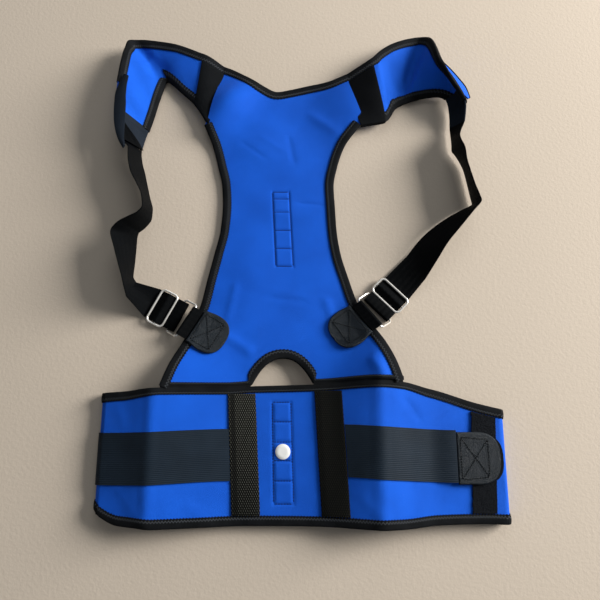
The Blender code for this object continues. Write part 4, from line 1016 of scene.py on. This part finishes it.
# The wings: inner edge x, y, z and outer edge x, y, z over reach, rise and lift, and bulge outwards and up
wing = {"reach": 0.220, "rise": 0.430, "lift": 0.036, "endWidth": 0.93, "bandPast": 0.022}
wings = {
    "left": {
        "sign": -1, "endRow": 8.3, "seam": panel["leftSeam"], "corner": 4.5, "tapeEnds": (9.35, 7.8),
        "valleys": ((-0.1897, 0.4191, -0.1670, 0.3979, -0.0040, 0.0090),
                    (-0.1690, 0.3995, -0.1473, 0.3797, -0.0038, 0.0090)),
        "rows": (
            (0.491, 0.791, 0.22, 0.450, 0.937, 0.44, 0.00, 0.04),
            (0.566, 0.829, 0.17, 0.618, 0.972, 0.41, 0.00, 0.03),
            (0.625, 0.860, 0.12, 0.745, 0.985, 0.38, 0.00, 0.00),
            (0.650, 0.872, 0.08, 0.815, 0.989, 0.38, 0.00, -0.02),
            (0.666, 0.872, 0.08, 0.873, 0.978, 0.50, 0.00, 0.00),
            (0.683, 0.845, 0.08, 0.884, 0.932, 0.68, 0.00, 0.02),
            (0.704, 0.805, 0.09, 0.888, 0.872, 0.84, 0.00, 0.03),
            (0.724, 0.760, 0.10, 0.892, 0.812, 0.92, 0.00, 0.02),
            (0.743, 0.722, 0.11, 0.896, 0.765, 0.92, 0.00, 0.00),
            (0.760, 0.690, 0.12, 0.900, 0.718, 0.88, -0.02, 0.00),
            (0.777, 0.652, 0.14, 0.878, 0.664, 0.78, -0.03, 0.00),
        ),
    },
    "right": {
        "sign": 1, "endRow": 9.2, "seam": panel["rightSeam"], "corner": None, "tapeEnds": (10.3, 11.7),
        "valleys": ((0.1827, 0.4163, 0.1612, 0.3852, -0.0027, 0.0080),
                    (0.1630, 0.3875, 0.1401, 0.3521, -0.0036, 0.0080)),
        "rows": (
            (0.564, 0.737, 0.28, 0.493, 0.916, 0.56, 0.00, 0.10),
            (0.589, 0.753, 0.20, 0.541, 0.942, 0.53, 0.00, 0.06),
            (0.612, 0.775, 0.14, 0.615, 0.970, 0.46, 0.00, 0.04),
            (0.640, 0.790, 0.10, 0.710, 0.992, 0.36, 0.00, 0.00),
            (0.662, 0.797, 0.09, 0.770, 0.998, 0.34, 0.00, -0.04),
            (0.690, 0.803, 0.09, 0.822, 0.982, 0.58, 0.00, 0.00),
            (0.741, 0.812, 0.10, 0.838, 0.945, 0.82, 0.00, 0.03),
            (0.809, 0.820, 0.12, 0.848, 0.905, 0.95, 0.04, 0.03),
            (0.864, 0.822, 0.14, 0.870, 0.866, 1.00, 0.20, 0.02),
            (0.905, 0.816, 0.12, 0.905, 0.828, 0.98, 0.28, 0.00),
            (0.924, 0.790, 0.11, 0.946, 0.796, 0.93, 0.26, -0.02),
            (0.928, 0.755, 0.10, 0.980, 0.762, 0.82, 0.18, -0.02),
            (0.926, 0.722, 0.10, 0.984, 0.722, 0.60, 0.10, 0.00),
        ),
    },
}


def wingSurface(shape):
    sign = shape["sign"]
    sizes = np.array([wing["reach"], wing["rise"], wing["lift"]] * 2 + [wing["lift"], wing["lift"]])
    table = np.array(shape["rows"]) * sizes
    ends = []
    for rise, across in (shape["seam"][0], shape["seam"][-1]):
        x = sign * across * panel["half"]
        y = rise * panel["length"]
        ends = ends + [sign * x, y, basePanel(np.array(x), np.array(y))]
    full = np.vstack([ends + [0.0, 0.0], table])
    slope = (readRows(full, np.array([0.5])) - readRows(full, np.array([0.0])))[0] / 0.5

    def surface(u, v):
        # edges mixed by share, plus the bulge times 4 v (1 - v)
        row = readRows(full, np.maximum(u, 0.0)) + np.minimum(u, 0.0)[..., None] * slope
        share = v[..., None]
        bulge = np.stack([row[..., 6], np.zeros(u.shape), row[..., 7]], axis=-1)
        plan = row[..., 0:3] * (1 - share) + row[..., 3:6] * share + bulge * 4 * share * (1 - share)
        wavy = 0.0006 * np.sin(u * 3.1 + 4 * v) * np.sin(np.pi * v) * ease(u)
        plan[..., 2] += wavy
        plan = plan * np.array([sign, 1.0, 1.0])
        room = ease((plan[..., 2] - halfBound) / 0.008) * ease((6.5 - u) / 1.0)
        plan[..., 2] += creases(plan[..., 0], plan[..., 1], shape["valleys"]) * room
        return plan

    return surface


def boundShare(surface, u, edge):
    ends = np.full(u.shape, float(edge))
    across = surface(u, 1 - ends) - surface(u, ends)
    tangent = unit(surface(u + 0.02, ends) - surface(u - 0.02, ends))
    return tapeWidth / np.linalg.norm(np.cross(tangent, across), axis=1)


def wingTape(surface, edge, start, end, corner):
    # rows picked at even distances along the edge, shares inwards, narrower round a row where the edge turns
    u = np.linspace(start, end, 900)
    at = lengths(surface(u, np.full(u.shape, float(edge))))
    even = np.arange(0.0, at[-1], tapeStep)
    rows = np.interp(even, at, u)
    narrow = 1.0 if corner is None else 1 - 0.6 * hill((rows - corner) / 0.8)
    share = tapeShares * (boundShare(surface, rows, edge) * scallop(even) * narrow)[:, None]
    across = share if edge == 0 else 1 - share
    return fold(surface(np.broadcast_to(rows[:, None], across.shape), across), tapeWidth)


surfaces = {}
for side, shape in wings.items():
    surface = wingSurface(shape)
    surfaces[side] = surface
    edgeRow = shape["endRow"] + 1
    u = np.linspace(0.02, edgeRow, 190)
    v = np.linspace(0.0, 1.0, 80)
    points = surface(*np.meshgrid(u, v, indexing="ij"))
    cloth = wall(points, thick["neoprene"])
    makePiece(f"shoulder_{side}", cloth, "neoprene", f"wing_{side}")
    for edge, (name, start, corner) in enumerate((("inner", 1.0, shape["corner"]), ("outer", -0.02, None))):
        tape = wingTape(surface, edge, start, shape["tapeEnds"][edge], corner)
        makePiece(f"shoulder_tape_{name}_{side}", tape, "tape", f"wing_binding_{name}_{side}")
    u = np.linspace(-0.14, 1.0, 70)
    outer = 1 - boundShare(surface, u, 1) - 0.006
    v = -wing["bandPast"] + np.linspace(0.0, 1.0, 110)[None, :] * (outer[:, None] + wing["bandPast"])
    points = surface(np.broadcast_to(u[:, None], v.shape), v)
    normals = upNormals(points)
    a = lengths(points[:, 50])[:, None]
    b = lengths(points[35])[None, :]
    weave = 0.00006 * np.sin(a * 2416.6) * np.sin(b * 2416.6)
    drop = 0.0035 * ease(-v / wing["bandPast"])
    lifted = points + normals * (onCloth + thick["webbing"] / 2 + weave - drop)[..., None]
    band = wall(lifted, thick["webbing"] * (0.5 + 0.5 * softRim(lifted, 0.0012)))
    makePiece(f"seam_band_{side}", band, "band", f"wing_band_{side}")
    u = np.linspace(edgeRow - 0.12, len(shape["rows"]), 60)
    v = np.linspace(0.0, wing["endWidth"], 50)
    points = surface(*np.meshgrid(u, v, indexing="ij"))
    covering = thick["neoprene"] + 0.0012 * ease((edgeRow + 0.5 - u) / 0.3)[:, None]
    anchor = wall(points, covering * softRim(points, 0.0013))
    makePiece(f"strap_anchor_{side}", anchor, "end", f"wing_end_{side}")
# Parts of the wings that turn over, as in the photograph: the left end's rolled lip, and the right wing's
# blue underside beyond its tape. Rows: one edge x, y, z and the other
lip = (
    (-0.1880, 0.3640, 0.0345, -0.1821, 0.3600, 0.0365), (-0.1941, 0.3476, 0.0350, -0.1834, 0.3462, 0.0372),
    (-0.1966, 0.3371, 0.0350, -0.1836, 0.3357, 0.0372), (-0.1971, 0.3245, 0.0345, -0.1830, 0.3232, 0.0365),
    (-0.1962, 0.3064, 0.0345, -0.1829, 0.3084, 0.0360), (-0.1931, 0.2899, 0.0345, -0.1829, 0.2956, 0.0355),
    (-0.1888, 0.2785, 0.0345, -0.1827, 0.2829, 0.0355), (-0.1829, 0.2685, 0.0345, -0.1807, 0.2705, 0.0355),
)
underside = (
    (0.1830, 0.3908, 0.0310, 0.1895, 0.4010, 0.019), (0.1875, 0.3825, 0.0310, 0.1957, 0.3949, 0.014),
    (0.1950, 0.3663, 0.0310, 0.2055, 0.3838, 0.014), (0.2026, 0.3543, 0.0310, 0.2147, 0.3714, 0.014),
    (0.2125, 0.3411, 0.0310, 0.2225, 0.3590, 0.014), (0.2191, 0.3332, 0.0310, 0.2265, 0.3455, 0.014),
)
for name, rows, paint in (("rolled_lip", lip, "end"), ("turned_underside", underside, "neoprene")):
    turned = readRows(rows, np.linspace(0.0, len(rows) - 1.0, 90))
    across = np.linspace(0.0, 1.0, 24)[None, :, None]
    points = turned[:, None, 0:3] * (1 - across) + turned[:, None, 3:6] * across
    points[..., 2] += 0.0008 * 4 * (across * (1 - across))[..., 0]
    makePiece(name, wall(points, thick["webbing"]), paint)
rim = readRows(underside, np.linspace(0.0, len(underside) - 1.0, 90))[:, 3:6]
makePiece("underside_rim", tube(rim, 0.0018), "tape")
surface = surfaces["left"]
u = np.linspace(9.6, 11.0, 40)[:, None]
v = wing["endWidth"] * (1 - (u - 9.6) / 1.4 * (1 - np.linspace(0.0, 1.0, 24)[None, :]))
points = surface(np.broadcast_to(u, v.shape), v)
points = points + upNormals(points) * (thick["neoprene"] / 2 + thick["webbing"] / 2 + gap)
makePiece("webbing_lead", wall(points, thick["webbing"]), "webbing")
print("wings made")

# The straps: left edge x, y, z and right edge x, y, z over the wing's reach and rise and the strap's width
strap = {
    "width": 0.0360, "wire": 0.0020, "wireRoom": 0.0006, "sliderWire": 0.00128, "ringWire": 0.00115,
    "slider": 0.0200, "sliderCorner": 0.0048, "ring": 0.0190, "ringAt": 0.0166, "ringRoom": 0.0018,
    "ringCorner": 0.0034, "pivot": 0.0200, "fold": 0.0212, "patchAt": 0.0445, "patch": 0.0380,
    "patchHalf": 0.0225,
}
straps = {
    "left": {
        "place": (-0.1353, 0.0862, -27.5, -29.0),
        "rows": (
            (0.804, 0.625, 1.02, 0.779, 0.640, 0.12), (0.800, 0.596, 1.04, 0.771, 0.613, 0.10),
            (0.785, 0.560, 1.01, 0.755, 0.585, 0.08), (0.750, 0.525, 1.01, 0.740, 0.553, 0.07),
            (0.719, 0.491, 1.03, 0.720, 0.513, 0.07), (0.710, 0.460, 1.04, 0.702, 0.478, 0.07),
            (0.730, 0.443, 1.05, 0.704, 0.452, 0.07), (0.777, 0.430, 1.04, 0.742, 0.423, 0.07),
            (0.828, 0.417, 1.00, 0.770, 0.410, 0.07), (0.871, 0.393, 0.88, 0.775, 0.394, 0.07),
            (0.844, 0.351, 0.95, 0.776, 0.369, 0.07), (0.809, 0.299, 1.01, 0.779, 0.324, 0.07),
            (0.786, 0.262, 1.01, 0.783, 0.290, 0.07), (0.772, 0.222, 0.80, 0.765, 0.272, 0.07),
        ),
    },
    "right": {
        "place": (0.1228, 0.1006, -134.5, -144.5),
        "rows": (
            (0.931, 0.676, 0.10, 0.938, 0.664, 0.90), (0.931, 0.655, 0.08, 0.957, 0.625, 0.98),
            (0.952, 0.636, 0.08, 0.963, 0.595, 0.96), (0.987, 0.597, 0.07, 0.973, 0.565, 0.99),
            (1.007, 0.543, 0.07, 0.989, 0.524, 1.04), (1.019, 0.507, 0.07, 1.011, 0.489, 1.04),
            (1.023, 0.494, 0.07, 1.018, 0.474, 1.04), (0.956, 0.475, 0.07, 0.973, 0.445, 1.00),
            (0.878, 0.452, 0.07, 0.912, 0.407, 0.89), (0.794, 0.421, 0.07, 0.848, 0.367, 0.76),
            (0.724, 0.387, 0.07, 0.800, 0.327, 0.60), (0.660, 0.346, 0.07, 0.742, 0.278, 0.32),
        ),
    },
}
lowLayer = thick["webbing"] / 2 + gap
topLayer = lowLayer + thick["webbing"] + gap
ringZ = lowLayer + thick["webbing"] / 2 + gap + strap["wire"] / 2
sliderZ = ringZ + strap["wire"] + gap
over = strap["wire"] / 2 + 2 * gap + thick["webbing"] / 2
patchRise = halfBound + 3 * gap + thick["leather"] / 2
ringRise = strap["wire"]


def putBy(origin, angle, start):
    ahead = np.array([math.cos(angle), math.sin(angle), 0.0])
    aside = np.array([-math.sin(angle), math.cos(angle), 0.0])

    def put(e, a, z):
        # origin + (e - start) ahead + a aside + z up
        spots = (np.asarray(e, float)[..., None] - start) * ahead + np.asarray(a, float)[..., None] * aside
        return origin + spots + np.asarray(z, float)[..., None] * np.array([0.0, 0.0, 1.0])

    return put


def sliderFrame(place):
    return putBy(np.array([place[0], place[1], 0.0]), math.radians(place[2]), 0.0)


def ringFrame(place):
    return putBy(sliderFrame(place)(strap["pivot"], 0.0, 0.0), math.radians(place[3]), strap["pivot"])


def roundedFrame(put, start, end, half, corner, zStart, zEnd, roll):
    # quarter circles at the corners, and points between them along the bars
    points = []
    for e, a, first in ((end, half, 0), (start, half, 90), (start, -half, 180), (end, -half, 270)):
        centreE = e - corner if e == end else e + corner
        centreA = a - corner if a > 0 else a + corner
        for turn in range(0, 91, 9):
            angle = math.radians(first + turn)
            points.append((centreE + corner * math.cos(angle), centreA + corner * math.sin(angle)))
    plan = np.array(points + points[:1])
    plan = respaced(plan, 0.0006)[:-1]
    share = (plan[:, 0] - start) / (end - start)
    return put(plan[:, 0], plan[:, 1], zStart + (zEnd + roll * plan[:, 1] - zStart) * share)


def loopLevel(place):
    put = ringFrame(place)
    side = strap["width"] / 2
    ends = put([strap["patchAt"]] * 2, [-side, side], [0.0, 0.0])
    heights = basePanel(ends[:, 0], ends[:, 1])
    roll = (heights[1] - heights[0]) / strap["width"]
    stations = np.linspace(strap["ringAt"] + strap["ring"], strap["patchAt"], 4)
    e, a = np.meshgrid(stations, np.linspace(-side, side, 5))
    spots = put(e, a, np.zeros(e.shape))
    return (basePanel(spots[..., 0], spots[..., 1]) - roll * a).max() + patchRise, roll


def strapThrough(place):
    # e and z through the slider and round the ring's near bar, as the part has them, in the slider's frame
    put = sliderFrame(place)
    reach = strap["slider"] / 2 - strap["wire"] / 2
    overBar = sliderZ + over
    overRing = ringZ + over
    turn = np.radians(np.linspace(90.0, -90.0, 25))
    half = (overRing - lowLayer) / 2
    between = (topLayer + overBar) / 2
    passing = np.array(((-reach - 0.006, topLayer), (-reach, topLayer), (-reach / 2, between), (0.0, overBar),
                        (reach / 2, between), (reach, topLayer), (reach + strap["wire"], overRing)))
    there = readRows(passing, np.linspace(0.0, 6.0, 60))
    e = np.concatenate([there[:, 0], strap["fold"] + half * np.cos(turn), [0.012, strap["wire"]]])
    z = np.concatenate([there[:, 1], lowLayer + half + half * np.sin(turn), [lowLayer, lowLayer]])
    wide = np.full(e.shape, strap["width"] / 2)
    return np.concatenate([put(e, -wide, z), put(e, wide, z)], axis=1)


def strapStart(surface, last, sign):
    rows = np.full(2, float(last))
    across = np.array([wing["endWidth"], 0.0]) if sign < 0 else np.array([0.0, wing["endWidth"]])
    ends = surface(rows, across)
    ahead = unit(ends - surface(rows - 0.2, across))
    middle = ends.mean(axis=0)
    reach = np.linalg.norm(ends - middle, axis=1, keepdims=True)
    wide = np.where(reach > strap["width"] / 2, unit(ends - middle) * strap["width"] / 2, ends - middle)
    return (middle + wide + ahead * 2 * gap).reshape(1, 6)


def ribbonShape(lines, count=21):
    # straight across between its two edges, thinner at its woven edges
    share = np.linspace(0.0, 1.0, count)[None, :, None]
    points = lines[:, None, 0:3] * (1 - share) + lines[:, None, 3:6] * share
    edge = np.minimum(share[0, :, 0], 1 - share[0, :, 0]) * strap["width"]
    profile = thick["webbing"] * (0.55 + 0.45 * ease(edge / 0.0016))
    return wall(points, np.broadcast_to(profile, points.shape[:2]))


def leatherAt(side, plan, extra=0.0):
    # on the panel's surface, settled from the loop's height onto the cloth over 12 mm inside its tape
    column = 1 if side == "left" else 2
    inside = panel["half"] * softRead(panel["sides"], column, plan[..., 1] / panel["length"])
    settle = ease((inside - np.abs(plan[..., 0]) - tapeWidth - edgeInset) / 0.012)
    low = thick["neoprene"] / 2 + 3 * gap + thick["leather"] / 2
    rise = patchRise + (low - patchRise) * settle + extra
    x = plan[..., 0]
    y = plan[..., 1]
    step = 0.0005
    slopeX = (basePanel(x + step, y) - basePanel(x - step, y)) / (2 * step)
    slopeY = (basePanel(x, y + step) - basePanel(x, y - step)) / (2 * step)
    away = unit(np.stack([-slopeX, -slopeY, np.ones(x.shape)], axis=-1))
    return np.stack([x, y, basePanel(x, y)], axis=-1) + away * rise[..., None], away


def makeSlider(side, put):
    # a rounded wire frame with a bar across its middle
    half = strap["width"] / 2 + strap["wireRoom"] + strap["wire"] / 2
    reach = strap["slider"] / 2 - strap["wire"] / 2
    outline = roundedFrame(put, -reach - 0.0018, reach + 0.0004, half + 0.0004, strap["sliderCorner"],
                           sliderZ, sliderZ, 0)
    bar = put(np.zeros(24), np.linspace(-half, half, 24), np.full(24, sliderZ))
    made = merged([tube(outline, strap["sliderWire"], True, 16), tube(bar, strap["wire"] / 2, False, 16)])
    makePiece(f"wire_slider_{side}", made, "metal", f"slider_{side}")


def makeRing(side, put, end, level, roll):
    # a rounded wire frame that rises from the strap's fold to its loop
    half = strap["width"] / 2 + strap["ringRoom"] + strap["wire"] / 2
    outline = roundedFrame(put, strap["ringAt"], end, half, strap["ringCorner"],
                           ringZ, level + ringRise, roll)
    makePiece(f"wire_ring_{side}", tube(outline, strap["ringWire"], True, 16), "metal", f"ring_{side}")


def makeRingLoop(side, put, end, level, roll):
    # webbing doubled round the ring's far bar in a half circle, with both tails at the patch
    turn = np.radians(np.linspace(90.0, 270.0, 31))
    pad = (thick["webbing"] + gap) / 2
    tail = strap["patchAt"] - 4 * gap
    e = np.concatenate([[tail, tail - 0.002], end + over * np.cos(turn), [tail - 0.002, tail]])
    z = np.concatenate([[level + pad] * 2, level + ringRise + over * np.sin(turn), [level - pad] * 2])
    half = strap["width"] / 2
    tilt = np.full(e.shape, roll * half)
    edges = [put(e, np.full(e.shape, sign * half), z + sign * tilt) for sign in (1, -1)]
    webbing = ribbonShape(np.concatenate(edges, axis=1))
    makePiece(f"ring_webbing_{side}", webbing, "webbing", f"ring_loop_{side}")


def makePatch(side, put):
    # a D with its box of thread, laid on the panel
    along, half = roundEnd(strap["patch"], strap["patchHalf"], 0.40, 64)
    half = half * (0.92 + 0.08 * ease(along / strap["patch"] / 0.4))
    rows = np.linspace(-1.0, 1.0, 60)[None, :] * half[:, None]
    plan = put((strap["patchAt"] + along)[:, None] * np.ones((1, 60)), rows, np.zeros(rows.shape))[..., :2]
    leather = leatherShape(leatherAt(side, plan)[0])
    makePiece(f"patch_leather_{side}", leather, "leather", f"anchor_patch_{side}")
    e0 = strap["patchAt"] + 0.0035
    boxE = np.array([e0, e0, e0 + 0.024, e0 + 0.024])
    spots = put(boxE, np.array([-0.0172, 0.0172, 0.0165, -0.0165]), np.zeros(4))
    corners = [tuple(spot) for spot in spots[:, :2]]
    thread = boxStitch(corners, lambda plan: leatherAt(side, plan, thick["leather"] / 2))
    makePiece(f"patch_thread_{side}", thread, "blackThread")


for side, shape in straps.items():
    place = shape["place"]
    sign = wings[side]["sign"]
    sizes = np.array([sign * wing["reach"], wing["rise"], strap["width"]] * 2)
    begin = strapStart(surfaces[side], len(wings[side]["rows"]), sign)
    table = np.concatenate([begin, np.array(shape["rows"]) * sizes])
    free = readRows(table, np.linspace(0.0, len(table) - 1.0, 10 * len(table)))
    free[:, 2:6:3] = np.maximum(free[:, 2:6:3], thick["webbing"] / 2 + gap)
    joined = np.concatenate([free, strapThrough(place)])
    makePiece(f"webbing_{side}", ribbonShape(joined), "webbing", f"strap_{side}")
    makeSlider(side, sliderFrame(place))
    put = ringFrame(place)
    level, roll = loopLevel(place)
    end = strap["ringAt"] + strap["ring"] - strap["wire"]
    makeRing(side, put, end, level, roll)
    makeRingLoop(side, put, end, level, roll)
    makePatch(side, put)
print("straps and buckles made")


# Floor, light and camera

def makeFloor():
    # pale card: warm beige with the faintest mottling
    paint = Paint("pale_card")
    paint.places()
    broad = paint.noise(paint.here, 2.2, 4.0, 0.55)
    grain = paint.noise(paint.here, 260.0, 4.0, 0.6)
    colour = paint.mix(broad * 0.7 + grain * 0.3, (0.515, 0.440, 0.355), (0.590, 0.508, 0.420))
    material = paint.close(colour, 0.9, grain, 0.0003, {"Specular IOR Level": 0.15})
    mesh = bpy.data.meshes.new("floor")
    half = 3.0
    corners = [(-half, -half, 0), (half, -half, 0), (half, half, 0), (-half, half, 0)]
    mesh.from_pydata(corners, [], [(0, 1, 2, 3)])
    mesh.materials.append(material)
    floor = bpy.data.objects.new("floor", mesh)
    bpy.context.scene.collection.objects.link(floor)


def makeLight(name, place, target, size, power, colour):
    data = bpy.data.lights.new(name, "AREA")
    data.size = size
    data.energy = power
    data.color = colour
    light = bpy.data.objects.new(name, data)
    light.location = place
    ahead = np.array(target) - np.array(place)
    drop = math.acos(-ahead[2] / np.linalg.norm(ahead))
    light.rotation_euler = (drop, 0.0, math.atan2(-ahead[0], ahead[1]))
    bpy.context.scene.collection.objects.link(light)


view = {"tilt": 11.6, "distance": 0.60, "lens": 31.32, "sensor": 36.0, "x": 0.0001, "y": -0.0455}


def makeCamera():
    # looks at a point of the floor, tilted from straight above
    tilt = math.radians(view["tilt"])
    distance = view["distance"]
    data = bpy.data.cameras.new("camera")
    data.lens = view["lens"]
    data.sensor_width = view["sensor"]
    camera = bpy.data.objects.new("camera", data)
    camera.location = (view["x"], view["y"] - distance * math.sin(tilt), distance * math.cos(tilt))
    camera.rotation_euler = (tilt, 0.0, 0.0)
    bpy.context.scene.collection.objects.link(camera)
    bpy.context.scene.camera = camera


makeFloor()
makeLight("key", (2.72, 0.80, 1.18), (0.0, -0.02, 0.0), 1.40, 208.0, (1.0, 0.98, 0.95))
makeLight("fill", (0.3, 1.6, 1.4), (0.0, 0.1, 0.0), 1.4, 7.5, (0.94, 0.97, 1.0))
makeCamera()
world = bpy.data.worlds.new("studio")
bpy.context.scene.world = world
world.use_nodes = True
world.node_tree.nodes["Background"].inputs["Color"].default_value = (0.90, 0.95, 1.0, 1.0)
world.node_tree.nodes["Background"].inputs["Strength"].default_value = 0.19
bpy.context.scene.view_settings.view_transform = "Standard"
print("floor, light and camera made")
